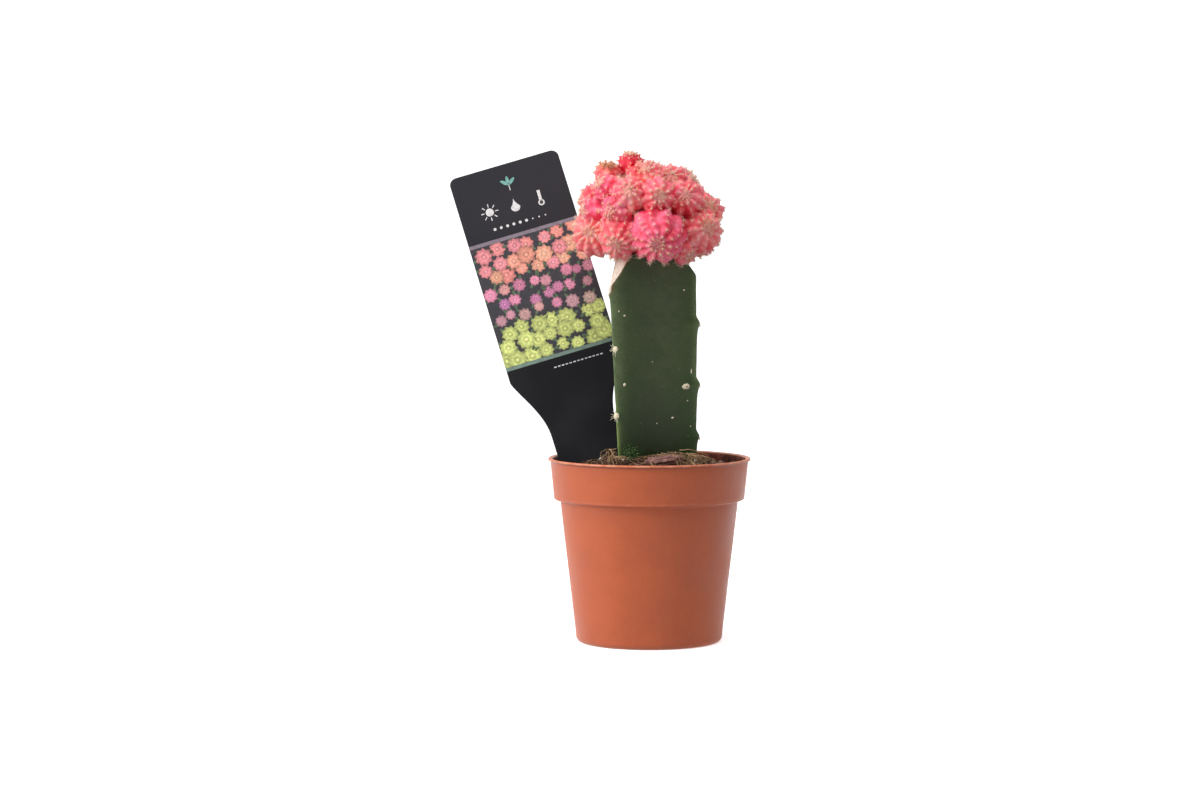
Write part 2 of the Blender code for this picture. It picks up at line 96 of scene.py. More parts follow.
# The scion: its mother body, then each pup's centre, radius and tone, from salmon at 0 to hot pink at 1
MOTHER = (0.0, 0.5, 136.6, 14.4)
PUPS = {
    "front_low": (2.2, -16.2, 130.8, 9.1, 1.0),
    "front_centre": (2.0, -14.8, 142.8, 6.4, 0.35),
    "front_left": (-6.5, -14.2, 143.0, 6.0, 0.3),
    "front_left_mid": (-10.1, -13.8, 137.8, 5.6, 0.7),
    "front_left_low": (-9.4, -13.9, 130.6, 7.0, 0.3),
    "front_right": (11.0, -12.0, 142.0, 6.4, 0.3),
    "left_low": (-17.2, -6.2, 130.9, 7.1, 0.25),
    "left_mid": (-17.2, -7.2, 137.8, 5.2, 0.8),
    "left_high": (-17.5, -2.0, 141.6, 5.0, 0.4),
    "left_shoulder": (-13.0, -8.0, 145.0, 5.0, 0.8),
    "right_low": (15.0, -9.2, 132.2, 7.8, 0.3),
    "right_mid": (17.2, -2.8, 137.6, 6.3, 0.25),
    "right_high": (10.8, -2.8, 145.8, 5.2, 0.4),
    "right_under": (17.2, 0.8, 131.0, 5.6, 0.3),
    "under_left": (-9.6, -11.4, 126.7, 4.6, 0.2),
    "under_right": (10.6, -12.4, 126.2, 4.8, 0.4),
    "top_tufted": (-13.8, -2.8, 149.9, 4.1, 0.1),
    "top_crown": (-6.0, -3.2, 153.2, 4.0, 0.9),
    "top_front": (-1.4, -8.4, 147.6, 6.2, 0.2),
    "top_right": (6.0, -5.2, 147.2, 6.0, 0.3),
    "top_back": (0.8, 3.6, 146.6, 6.8, 0.4),
    "top_back_left": (-8.2, 3.6, 147.2, 6.2, 0.3),
    "top_back_right": (9.2, 5.8, 146.2, 6.2, 0.5),
    "back_right": (15.6, 6.6, 138.2, 6.4, 0.3),
    "back_right_low": (14.4, 10.4, 130.4, 7.6, 0.7),
    "back": (5.8, 14.6, 140.2, 7.6, 0.4),
    "back_low": (3.4, 16.2, 129.8, 7.6, 0.8),
    "back_left": (-5.2, 12.2, 142.4, 7.0, 0.3),
    "back_left_low": (-8.2, 14.0, 132.4, 7.2, 0.5),
    "left_back": (-14.6, 7.0, 141.4, 6.6, 0.6),
    "left_back_low": (-17.0, 6.6, 132.4, 7.0, 0.3),
}
TUFTED = "top_tufted"
CROWN = "top_crown"

# The plant label
LABEL_WIDTH, LABEL_LENGTH, LABEL_THICKNESS, LABEL_CORNER = 37.1, 127.0, 0.6, 2.4
LABEL_BODY, LABEL_SHOULDER = 71.1, 21.0
STAKE_WIDTH, STAKE_POINT, STAKE_TIP_WIDTH = 21.5, 25.0, 3.0
LABEL_AT_SOIL, LABEL_BURIED = np.array((-18.1, 4.0, 58.85)), 24.9
LABEL_ROLL, LABEL_TILT = math.radians(16.93), math.radians(15.0)
PRINT_VALUES = ("red", "green", "blue")
PICTURE_STOPS = (0.0, 0.3, 0.42, 0.6, 0.7, 1.0)  # shares of the way down it
BLOSSOM_SIZES = (2.9, 2.7, 1.9, 1.8, 2.7, 2.9)  # radii at those stops

# The bark chip
CHIP_CENTRE, CHIP_RADII, CHIP_TURN = np.array((4.4, -14.4, 59.3)), (5.6, 2.6, 1.5), math.radians(10.0)

# Bundles of dry rootlets round the stem's foot: start, its spread, end, its spread, bow, count and radius
ROOTLETS = (
    ((-11.7, -9.4, 61.6), (0.7, 0.4, 0.7), (-12.4, -13.0, 58.2), (3.4, 2.8, 0.3), (-0.8, -1, 1.4), 13, 0.21),
    ((-12.6, -11.0, 59.6), (1.0, 0.8, 0.5), (-9.0, -12.0, 58.6), (2.6, 2.0, 0.4), (0.0, 0.0, 1.5), 8, 0.16),
    ((-9.8, -9.6, 60.2), (0.7, 0.3, 0.7), (-7.5, -13.0, 58.3), (2.4, 2.0, 0.3), (0.4, -0.6, 0.8), 5, 0.17),
    ((4.0, -10.4, 60.7), (1.6, 0.6, 0.7), (13.5, -12.0, 58.9), (3.6, 1.6, 0.6), (0.0, -0.3, 0.7), 11, 0.1),
    ((0.5, -11.5, 59.4), (1.6, 1.0, 0.6), (6.0, -11.0, 60.2), (3.6, 1.2, 0.9), (0.0, 0.0, 0.9), 11, 0.09),
    ((9.5, -9.8, 60.4), (2.6, 0.8, 0.6), (11.0, -12.0, 59.4), (4.4, 1.6, 0.5), (0.0, 0.0, 0.9), 14, 0.1),
    ((12.8, -9.0, 60.6), (1.4, 1.0, 0.7), (17.0, -9.0, 58.6), (3.6, 3.0, 0.4), (0.2, -0.2, 0.8), 13, 0.13),
)


# ---------------------------------------------------------------- number helpers

HASH_PRIMES = (73856093, 19349663, 83492791, 2654435761)  # for a cell's three numbers and the seed
HASH_ROUNDS = ((13, 1274126177), (16, 668265263))


def smooth_step(low, high, value):
    """0 below low, 1 above high, and 3t² − 2t³ between."""
    t = np.clip((value - low) / (high - low), 0.0, 1.0)
    return t * t * (3.0 - 2.0 * t)


def bell(value):
    """e to the minus square of the value."""
    return np.exp(-(value**2))


def unit(vectors):
    """Each vector divided by its own length."""
    return vectors / np.maximum(np.linalg.norm(vectors, axis=-1, keepdims=True), 1e-12)


def full_turn(steps):
    """Evenly spaced turns, once round."""
    return 2.0 * np.pi * np.arange(steps) / steps


def compass(turn):
    """The flat unit vector at each turn from +X towards +Y."""
    return np.stack([np.cos(turn), np.sin(turn)], -1)


def lattice_numbers(cells, seed):
    """A fixed random number from 0 to 1 for each whole-numbered cell, by mixing its three numbers."""
    x, y, z = np.moveaxis(cells, -1, 0)
    a, b, c, d = HASH_PRIMES
    mixed = x * a ^ y * b ^ z * c ^ (seed + 1) * d
    for shift, factor in HASH_ROUNDS:
        mixed = (mixed ^ (mixed >> shift)) * factor & 0xFFFFFFFF
    return ((mixed ^ (mixed >> 15)) & 0xFFFFFF) / float(0xFFFFFF)


def grain(points, size, seed):
    """Noise from −1 to 1: a random number at each corner of a grid of cubes, blended by 3t² − 2t³ inside."""
    scaled = points / size
    cells = np.floor(scaled).astype(np.int64)
    part = scaled - cells
    part = part * part * (3.0 - 2.0 * part)
    total = 0.0
    for corner in np.ndindex(2, 2, 2):
        step = np.array(corner)
        weight = np.where(step, part, 1.0 - part).prod(-1)
        total = total + weight * lattice_numbers(cells + step, seed)
    return 2.0 * total - 1.0


def layered_grain(points, size, seed):
    """Grain at a size, half the size and a quarter of it, each layer half as strong as the one before."""
    return sum(0.5**k * grain(points, size * 0.5**k, seed + 7 * k) for k in range(3))


def nearest_spot(points, size, seed):
    """Distance, in cubes, to the nearest of one random spot in each cube of a grid."""
    scaled = points / size
    cells = np.floor(scaled).astype(np.int64)
    nearest = np.full(scaled.shape[:-1], 9.0)
    for step in np.ndindex(3, 3, 3):
        cell = cells + np.array(step) - 1
        spot = cell + np.stack([lattice_numbers(cell, seed + k) for k in range(3)], -1)
        nearest = np.minimum(nearest, np.linalg.norm(scaled - spot, axis=-1))
    return nearest


def side_frames(along):
    """Two unit vectors square to each direction and to each other."""
    helper = np.where(np.abs(along[..., 2:3]) < 0.9, UP, np.array((1.0, 0.0, 0.0)))
    across = unit(np.cross(helper, along))
    return across, np.cross(along, across)


def facing_turns(out):
    """Turning matrices that carry +Z to each outward direction."""
    return np.stack([*side_frames(out), out], -1)


def rotated(flat, turn):
    """Flat points turned anticlockwise."""
    x, y = flat[..., 0], flat[..., 1]
    return np.stack([x * np.cos(turn) - y * np.sin(turn), x * np.sin(turn) + y * np.cos(turn)], -1)


def random_turns(random, count):
    """Turning matrices from evenly spread random quaternions."""
    w, x, y, z = unit(random.normal(size=(count, 4))).T
    rows = [
        (1 - 2 * (y * y + z * z), 2 * (x * y - w * z), 2 * (x * z + w * y)),
        (2 * (x * y + w * z), 1 - 2 * (x * x + z * z), 2 * (y * z - w * x)),
        (2 * (x * z - w * y), 2 * (y * z + w * x), 1 - 2 * (x * x + y * y)),
    ]
    return np.moveaxis(np.array(rows), -1, 0)


# ---------------------------------------------------------------- mesh helpers

LUMP_SIDES, DOME_SIDES = 6, 14
DOME_RINGS = (-25.0, 15.0, 55.0)  # degrees above a dome's widest line
TIP_SHARE = 0.45  # how thick a strand still is where its tip starts to close
SKIN, HAIR, CORK = 0, 1, 2  # places of a grown piece's looks in its list


def band_faces(rows, cols):
    """Faces between rings of points, where point (i, j) is i·cols + j, after the i and the j of each."""
    i, j = (a.ravel() for a in np.meshgrid(np.arange(rows - 1), np.arange(cols), indexing="ij"))
    k = (j + 1) % cols
    return i, j, np.stack([i * cols + j, i * cols + k, (i + 1) * cols + k, (i + 1) * cols + j], -1)


def wrapped_grid(rows, cols):
    """Faces and map places of rows of points round a closed form, then one point that closes each end.

    Point (i, j) is i·cols + j, the first end's point follows, and the last end's point comes last."""
    i, j, quads = band_faces(rows, cols)
    quad_places = [np.stack([j, j + 1, j + 1, j], -1) / cols, np.stack([i, i, i + 1, i + 1], -1) + 1.0]
    j = np.arange(cols)
    k, top = (j + 1) % cols, (rows - 1) * cols
    first, last = np.full(cols, rows * cols), np.full(cols, rows * cols + 1)
    fans = np.concatenate([np.stack([first, k, j], -1), np.stack([last, top + j, top + k], -1)])
    half, left, right = (j + 0.5) / cols, j / cols, (j + 1) / cols
    low = np.stack([np.stack([half, right, left], -1), np.tile((0.0, 1.0, 1.0), (cols, 1))], -1)
    high = np.stack([np.stack([half, left, right], -1), np.tile((rows + 1.0, rows, rows), (cols, 1))], -1)
    places = [np.stack(quad_places, -1), np.concatenate([low, high])]
    for part in places:
        part[..., 1] /= rows + 1.0
    return [quads, fans], places


def copied(faces, places, count, each):
    """Faces and map places of a shape's copies, each of which has that many points."""
    first = (np.arange(count) * each)[:, None, None]
    faces = [(first + part).reshape(-1, part.shape[1]) for part in faces]
    return faces, [np.tile(part, (count, 1, 1)) for part in places]


def held_by_each(values, count, each):
    """Values given once for each copy, or for all of them, at every point of every copy."""
    return {name: np.repeat(np.broadcast_to(value, count), each) for name, value in values.items()}


def fill(collection, key, values, kind):
    """Puts a whole array into a mesh."""
    collection.foreach_set(key, values.astype(kind).ravel())


class Piece:
    """Gathers the parts of one piece, and makes its mesh object in metres in the shared frame."""

    def __init__(self):
        self.points, self.faces, self.places, self.looks, self.values = [], [], [], [], []
        self.count = 0

    def add(self, points, faces, places, look=0, strip=FULL_MAP, **values):
        """Adds a part: faces and map places are lists that match, strip is its band of the map's height."""
        for face, place in zip(faces, places):
            place = np.array(place, float)
            place[..., 1] = strip[0] + (strip[1] - strip[0]) * place[..., 1]
            self.faces.append(face + self.count)
            self.places.append(place.reshape(-1, 2))
            self.looks.append(np.full(len(face), look))
        self.points.append(points)
        self.values.append((len(points), values))
        self.count += len(points)

    def add_rings(self, rings, strip=FULL_MAP, ends=None, **values):
        """Adds a closed form: a stack of rings, closed by the middles of the first and the last one. At
        those two points, values are as ends says, or else the mean of the ring."""
        for name, value in values.items():
            value = np.broadcast_to(value, rings.shape[:2])
            values[name] = np.append(value.ravel(), ends or (value[0].mean(), value[-1].mean()))
        points = np.concatenate([rings.reshape(-1, 3), rings[0].mean(0)[None], rings[-1].mean(0)[None]])
        self.add(points, *wrapped_grid(*rings.shape[:2]), strip=strip, **values)

    def add_strands(self, paths, radius, sides, look, strip=LOW_MAP, **values):
        """Adds tapered strands: an even polygon carried along each path and drawn to a point at its end.
        They hold how far along each point is, and values given once for each strand."""
        count, stations = paths.shape[:2]
        radii = np.asarray(radius)[..., None] * np.linspace(1.0, TIP_SHARE, stations)
        radii = np.broadcast_to(radii, (count, stations))
        across, over = side_frames(unit(np.gradient(paths, axis=1)))
        turns = full_turn(sides)
        ring = np.cos(turns)[:, None] * across[:, :, None] + np.sin(turns)[:, None] * over[:, :, None]
        rings = (paths[:, :, None] + radii[:, :, None, None] * ring)[:, :-1]
        points = np.concatenate([rings.reshape(count, -1, 3), paths[:, -1:]], 1)
        each = points.shape[1]
        last = each - 1 - sides + np.arange(sides)
        tip = np.stack([last, np.roll(last, -1), np.full(sides, each - 1)], -1)
        faces = [band_faces(stations - 1, sides)[2], tip, np.arange(sides)[::-1][None]]
        along = np.append(np.repeat(np.arange(stations - 1), sides) / (stations - 1), 1.0)
        places = [np.stack([along[part], np.full(part.shape, 0.5)], -1) for part in faces]
        values = held_by_each(values, count, each) | {"along": np.tile(along, count)}
        self.add(points.reshape(-1, 3), *copied(faces, places, count, each), look, strip, **values)

    def add_lumps(self, centres, radii, look, random, roughness, turns=None, strip=LOW_MAP, **values):
        """Adds small rough grains, turned at random or as given: a ball of two rings and two ends, with each
        point's distance varied at random."""
        if turns is None:
            turns = random_turns(random, len(centres))
        step = np.arange(LUMP_SIDES) / LUMP_SIDES
        around = 2.0 * np.pi * np.concatenate([step, step + 0.5 / LUMP_SIDES])
        height = np.repeat((-0.5, 0.5), LUMP_SIDES)[:, None]
        shape = np.concatenate([np.sqrt(1.0 - height**2) * compass(around), height], -1)
        shape = np.concatenate([shape, [-UP, UP]])
        own = np.random.default_rng(int(random.integers(1 << 30)))
        vary = 1.0 + roughness * own.uniform(-1.0, 1.0, (len(centres), len(shape), 1))
        reach = shape * np.broadcast_to(radii, centres.shape)[:, None] * vary
        points = np.einsum("nij,nkj->nki", turns, reach) + centres[:, None]
        grid = copied(*wrapped_grid(2, LUMP_SIDES), len(centres), len(shape))
        values = held_by_each(values, len(centres), len(shape))
        self.add(points.reshape(-1, 3), *grid, look, strip, **values)

    def add_domes(self, places, frames, radii, look, random, tones):
        """Adds smooth low domes: three rings of points under a top, with slightly wavy outlines."""
        angles = np.radians(DOME_RINGS)[:, None, None]
        ring = np.concatenate([compass(full_turn(DOME_SIDES)), np.zeros((DOME_SIDES, 1))], -1)
        shape = np.cos(angles) * ring + np.sin(angles) * UP
        shape = np.concatenate([shape.reshape(-1, 3), [-0.4 * UP, UP]])
        grid = wrapped_grid(len(DOME_RINGS), DOME_SIDES)
        for place, turn, radius, tone in zip(places, frames, radii, tones):
            wavy = 1.0 + random.uniform(-0.1, 0.1, (len(shape), 1))
            self.add((shape * wavy * radius) @ turn.T + place, *grid, look, LOW_MAP, tone=tone)

    def make(self, name, looks, replaces=(), sharp=None):
        """The mesh object, riding on the root: smooth, but for edges over an angle where one is given."""
        mesh = bpy.data.meshes.new(name)
        sizes = np.concatenate([np.full(len(face), face.shape[1]) for face in self.faces])
        starts = np.cumsum(sizes) - sizes
        mesh.vertices.add(self.count)
        fill(mesh.vertices, "co", MM * np.concatenate(self.points), np.float32)
        mesh.loops.add(int(sizes.sum()))
        fill(mesh.loops, "vertex_index", np.concatenate([face.ravel() for face in self.faces]), np.int32)
        mesh.polygons.add(len(sizes))
        fill(mesh.polygons, "loop_start", starts, np.int32)
        fill(mesh.polygons, "material_index", np.concatenate(self.looks), np.int32)
        mesh.update(calc_edges=True)
        fill(mesh.uv_layers.new(name=BAKE_MAP).data, "uv", np.concatenate(self.places), np.float32)
        for value_name in sorted({key for _, values in self.values for key in values}):
            column = [np.broadcast_to(values.get(value_name, 0.0), count) for count, values in self.values]
            held = mesh.attributes.new(value_name, "FLOAT", "POINT")
            fill(held.data, "value", np.concatenate(column), np.float32)
        for look in looks:
            mesh.materials.append(look)
        mesh.shade_smooth()
        if sharp is not None:
            mesh.set_sharp_from_angle(angle=math.radians(sharp))
        obj = bpy.data.objects.new(name, mesh)
        bpy.context.scene.collection.objects.link(obj)
        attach(obj, "root")
        if replaces:
            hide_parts(*replaces)
        return obj


# ---------------------------------------------------------------- finishes


def ink(red, green, blue):
    """A colour as seen on a screen, 0 to 255, in linear light."""
    seen = np.array((red, green, blue)) / 255.0
    linear = np.where(seen <= 0.04045, seen / 12.92, ((seen + 0.055) / 1.055) ** 2.4)
    return (*linear, 1.0)


class Wiring:
    """A node tree, with a short way of adding each kind of node. Each gives the new node's output."""

    def __init__(self, tree):
        self.tree = tree

    def node(self, kind, sockets=None, output=0, **settings):
        """A node with its settings and with its sockets filled with links or values."""
        made = self.tree.nodes.new(kind)
        for key, value in settings.items():
            setattr(made, key, value)
        for key, value in (sockets or {}).items():
            if isinstance(value, bpy.types.NodeSocket):
                self.tree.links.new(value, made.inputs[key])
            else:
                made.inputs[key].default_value = value
        return made.outputs[output]

    def calc(self, operation, *values):
        """A Math node."""
        return self.node("ShaderNodeMath", dict(enumerate(values)), operation=operation)

    def times(self, first, *others):
        """The product of links or numbers."""
        for other in others:
            first = self.calc("MULTIPLY", first, other)
        return first

    def mix(self, share, first, second, blend="MIX"):
        """A mix of two colours by a share. Each is a link, a seen red, green and blue, or linear numbers."""
        first, second = (ink(*c) if isinstance(c, tuple) and len(c) == 3 else c for c in (first, second))
        sockets = {0: share, 6: first, 7: second}
        return self.node("ShaderNodeMix", sockets, 2, data_type="RGBA", blend_type=blend)

    def ramp(self, value, low, high, start=0.0, end=1.0):
        """A smooth change from start to end as the value goes from low to high."""
        sockets = {"Value": value, "From Min": low, "From Max": high, "To Min": start, "To Max": end}
        return self.node("ShaderNodeMapRange", sockets, interpolation_type="SMOOTHSTEP")

    def value_of(self, name):
        """A value that the mesh holds at each point."""
        return self.node("ShaderNodeAttribute", output="Fac", attribute_name=name)

    def place(self):
        """Where a point of the piece is in the shared frame, in metres."""
        return self.node("ShaderNodeTexCoord", output="Object")

    def level(self):
        """How high a point of the piece is, in metres."""
        return self.node("ShaderNodeSeparateXYZ", {0: self.place()}, 2)

    def noise(self, scale, detail=3.0, roughness=0.55, place=None):
        """Noise with that many patches to a metre."""
        place = place or self.place()
        sockets = {"Vector": place, "Scale": scale, "Detail": detail, "Roughness": roughness}
        return self.node("ShaderNodeTexNoise", sockets, "Fac")


def new_group(name, inputs, outputs):
    """An empty node group with float inputs, given with their defaults, and float outputs."""
    group = bpy.data.node_groups.new(name, "ShaderNodeTree")
    for title, value in inputs.items():
        group.interface.new_socket(title, in_out="INPUT", socket_type="NodeSocketFloat").default_value = value
    for title in outputs:
        group.interface.new_socket(title, in_out="OUTPUT", socket_type="NodeSocketFloat")
    start = group.nodes.new("NodeGroupInput")
    end = group.nodes.new("NodeGroupOutput")
    return Wiring(group), start.outputs, end.inputs


def patches_group():
    """Broad patches and fine grain of a grown or moulded surface, and a height made of both."""
    inputs = {"Patch Scale": 120.0, "Grain Scale": 2500.0, "Grain Share": 0.5}
    group, given, out = new_group("patches_and_grain", inputs, ("Patch", "Grain", "Height"))
    patch, fine = group.noise(given[0], 4.0, 0.5), group.noise(given[1], 2.0, 0.5)
    height = group.node("ShaderNodeMix", {0: given[2], 2: patch, 3: fine}, data_type="FLOAT")
    made = (group.ramp(patch, 0.3, 0.7), group.ramp(fine, 0.32, 0.68), height)
    for result, socket in zip(made, out):
        group.tree.links.new(result, socket)
    return group.tree


def specks_group():
    """Small round specks, one in some of the cells of a random grid, as a mask."""
    group, given, out = new_group("specks", {"Scale": 600.0, "Size": 0.18, "Share": 0.3}, ("Mask",))
    cells = {"Vector": group.place(), "Scale": given[0]}
    apart = group.node("ShaderNodeTexVoronoi", cells, "Distance")
    colour = group.node("ShaderNodeTexVoronoi", cells, "Color")
    pick = group.node("ShaderNodeSeparateColor", {0: colour}, 0)
    chosen = group.calc("LESS_THAN", pick, given[2])
    spot = group.calc("LESS_THAN", apart, given[1])
    group.tree.links.new(group.times(chosen, spot), out[0])
    return group.tree


PATCHES, SPECKS = patches_group(), specks_group()


class Look(Wiring):
    """A material with its Principled shader and its colour so far. Sizes are in millimetres."""

    def __init__(self, name, **fixed):
        """The shader's plain sockets are set by name."""
        self.material = bpy.data.materials.new(name)
        self.material.use_nodes = True
        super().__init__(self.material.node_tree)
        self.shader = self.tree.nodes["Principled BSDF"]
        self.colour = None
        for key, value in fixed.items():
            self.shader.inputs[key.replace("_", " ").title().replace("Ior", "IOR")].default_value = value

    def grouped(self, group, *values):
        """A shared group with its inputs set in order: all of its outputs."""
        made = self.tree.nodes.new("ShaderNodeGroup")
        made.node_tree = group
        for socket, value in zip(made.inputs, values):
            socket.default_value = value
        return list(made.outputs)

    def patches(self, patch_size, grain_size, grain_share):
        """Broad patches, fine grain, and a height made of both."""
        return self.grouped(PATCHES, 1.0 / (MM * patch_size), 1.0 / (MM * grain_size), grain_share)

    def specks(self, cell_size, size, share):
        """A mask of small round specks."""
        return self.grouped(SPECKS, 1.0 / (MM * cell_size), size, share)[0]

    def cloud(self, size, *detail, **more):
        """Noise whose patches are about that size."""
        return self.noise(1.0 / (MM * size), *detail, **more)

    def base(self, share, first, second):
        """The colour to start from, a mix of two."""
        self.colour = self.mix(share, first, second)

    def tint(self, share, colour, most=None):
        """Brings a colour in by a share, weakened where a number says how strong it gets at most."""
        self.colour = self.mix(share if most is None else self.times(share, most), self.colour, colour)

    def done(self, roughness=None, height=None, depth=0.1, strength=1.0):
        """Links the colour, the roughness and a bump of that depth to the shader, and gives the material."""
        self.tree.links.new(self.colour, self.shader.inputs["Base Color"])
        if roughness is not None:
            self.tree.links.new(roughness, self.shader.inputs["Roughness"])
        if height is not None:
            sockets = {"Height": height, "Distance": MM * depth, "Strength": strength}
            self.tree.links.new(self.node("ShaderNodeBump", sockets), self.shader.inputs["Normal"])
        return self.material


def pot_look():
    """Moulded terracotta-coloured plastic: faint mottling, a fine matt texture, paler edges that are worn
    and carry a painted highlight along the lip, painted shade in the groove under the lip, and a darker,
    mottled inside wall."""
    look = Look("terracotta_plastic", specular_ior_level=0.42)
    patch, fine, height = look.patches(14.0, 0.35, 0.75)
    look.base(patch, (176, 79, 40), (187, 88, 47))
    look.tint(fine, (210, 106, 64), 0.22)
    # paler edges: wear, and along the lip bead a painted highlight
    wear_and_highlight = look.ramp(look.cloud(2.2), 0.35, 0.65, 0.25, 0.8)
    look.tint(look.times(look.value_of("edge"), wear_and_highlight), (216, 136, 104))
    look.tint(look.specks(2.4, 0.09, 0.12), (150, 80, 54), 0.5)
    # the inside wall darker and mottled, and rougher there
    darker_inside = look.times(look.value_of("inside"), look.ramp(look.cloud(3.0), 0.25, 0.7, 0.55, 0.95))
    look.tint(darker_inside, look.mix(look.ramp(look.cloud(1.1), 0.4, 0.66), (88, 28, 16), (54, 26, 16)))
    # painted shade in the groove under the lip
    look.tint(look.value_of("groove"), (104, 34, 16), 0.75)
    rough = look.calc("ADD", look.ramp(patch, 0.0, 1.0, 0.4, 0.5), look.times(darker_inside, 0.45))
    return look.done(rough, height, 0.05, 0.5)


def peat_look():
    """Dark peat: brown and nearly black crumbs with pale flecks, very rough."""
    look = Look("peat", roughness=0.95, specular_ior_level=0.2)
    patch, fine, height = look.patches(2.6, 0.5, 0.6)
    look.base(patch, (38, 26, 20), (74, 50, 36))
    look.tint(fine, (98, 66, 48), 0.6)
    look.tint(look.specks(1.3, 0.2, 0.16), (150, 112, 80))
    return look.done(None, height, 0.4)


def litter_look(name, dark, light):
    """Loose bits on the peat, each one's own tone from dark to light, with a fine grain."""
    look = Look(name, roughness=0.9, specular_ior_level=0.25)
    _, fine, height = look.patches(2.0, 0.3, 0.7)
    look.base(look.value_of("tone"), dark, light)
    look.tint(fine, light, 0.45)
    return look.done(None, height, 0.2, 0.8)


def bark_look():
    """A pinkish-brown flake of bark with fine dark and pale lines along its length."""
    look = Look("bark", roughness=0.88, specular_ior_level=0.25)
    look.base(look.value_of("line"), (76, 46, 44), (166, 124, 116))
    look.tint(look.ramp(look.cloud(0.9), 0.42, 0.62, 0.0, 0.6), (120, 82, 70))
    look.tint(look.specks(0.8, 0.22, 0.3), (205, 178, 160))
    return look.done(None, look.cloud(0.3), 0.15, 0.8)


def stem_look():
    """Dark green waxy skin with a painted highlight along the ribs, brightest low on the first rib, darker
    beside them and towards the peat, with fine pale specks, a film of algae, and corky cream callus on the
    trimmed ribs with a thin brown edge."""
    look = Look("green_skin", specular_ior_level=0.32)
    patch, fine, height = look.patches(7.0, 0.45, 0.6)
    level = look.level()
    look.base(patch, (47, 60, 31), (62, 72, 41))
    look.tint(fine, (78, 88, 54), 0.35)
    look.tint(look.ramp(level, 0.056, 0.1, 0.85, 0.0), (24, 36, 11))
    upper = look.ramp(level, 0.062, 0.1)
    look.tint(look.value_of("beside_rib"), look.mix(upper, (22, 52, 8), (44, 66, 24)), 0.75)
    # painted highlight along each rib's edge, broken up and weaker towards the foot
    uneven = look.ramp(look.cloud(4.0), 0.3, 0.7, 0.5, 0.9)
    rib = look.times(look.value_of("rib"), uneven, look.ramp(upper, 0.0, 1.0, 0.3, 1.0))
    look.tint(rib, (114, 130, 90))
    # painted highlight along the lower edge of the first rib, which faces the key light
    look.tint(look.value_of("fresh"), (128, 152, 84))
    look.tint(look.ramp(look.cloud(1.7, 4.0, 0.7), 0.5, 0.72, 0.0, 0.45), (34, 60, 28))
    look.tint(look.specks(1.5, 0.1, 0.3), (96, 110, 70))
    look.tint(look.specks(3.9, 0.045, 0.3), (176, 184, 150))
    algae = look.value_of("algae")
    look.tint(algae, (30, 62, 20), 0.7)
    look.tint(look.times(algae, look.ramp(look.cloud(0.55, 1.0), 0.56, 0.66)), (112, 150, 88))
    streak = look.node("ShaderNodeMapping", {"Vector": look.place(), "Scale": (1.0, 1.0, 0.18)})
    cork = look.ramp(look.cloud(0.7, place=streak), 0.35, 0.68)
    callus = look.value_of("callus")
    look.tint(callus, look.mix(cork, (232, 216, 194), (252, 245, 232)))
    look.tint(look.value_of("cut_edge"), (122, 92, 58))
    rough = look.calc("ADD", look.ramp(callus, 0.0, 1.0, 0.4, 0.85), look.ramp(fine, 0.0, 1.0, 0.0, 0.12))
    return look.done(rough, height, 0.12, 0.5)


def flesh_look():
    """Coral flesh without any green: salmon or hot pink by each pup's tone, with painted highlights on the
    crests and on lit lobes, paler round each apex, painted shade in crimson in the furrows and where pups
    press together, crimson patches that are partly the skin's own and partly painted shade, and light showing
    through a little."""
    through = {"subsurface_weight": 0.55, "subsurface_radius": (1.0, 0.2, 0.16), "subsurface_scale": 0.0026}
    look = Look("coral_flesh", **through)
    patch, fine, height = look.patches(3.2, 0.4, 0.55)
    tone, ridge = look.value_of("tone"), look.value_of("ridge")
    look.base(tone, (250, 118, 108), (240, 60, 112))
    look.tint(patch, look.mix(tone, (252, 122, 134), (238, 92, 128)), 0.5)
    # painted shade: crimson in the furrows between the ribs
    look.tint(look.ramp(ridge, 0.0, 0.5, 0.85, 0.0), look.mix(tone, (240, 66, 80), (228, 26, 86)))
    # painted highlight on the crests
    look.tint(look.ramp(ridge, 0.45, 1.0, 0.0, 0.6), look.mix(tone, (255, 166, 164), (240, 106, 148)))
    # painted highlights on lit lobes, and paler flesh round each apex
    look.tint(look.value_of("pale"), look.mix(tone, (255, 200, 194), (248, 152, 186)), 0.75)
    look.tint(fine, (255, 174, 170), 0.2)
    # crimson: partly the skin's own, partly painted shade in the hollows under overhanging pups
    look.tint(look.value_of("rose"), (216, 14, 56), 0.95)
    # painted shade: crimson where pups press together
    look.tint(look.ramp(look.value_of("crease"), 0.0, 1.0, 0.0, 0.92), (236, 26, 66))
    look.tint(look.value_of("tawny"), (204, 112, 52))
    return look.done(look.ramp(fine, 0.0, 1.0, 0.4, 0.55), height, 0.12, 0.6)


def spine_look(name, pale, deep, tip):
    """Bristles and wool: two shades in patches, a third towards the tips, and tan by each one's share."""
    through = {"subsurface_weight": 0.5, "subsurface_radius": (1.0, 0.78, 0.6), "subsurface_scale": 0.0004}
    look = Look(name, roughness=0.6, **through)
    look.base(look.ramp(look.cloud(1.2), 0.3, 0.7), pale, deep)
    look.tint(look.ramp(look.value_of("along"), 0.5, 1.0, 0.0, 0.5), tip)
    look.tint(look.value_of("tan"), (208, 114, 56))
    return look.done()


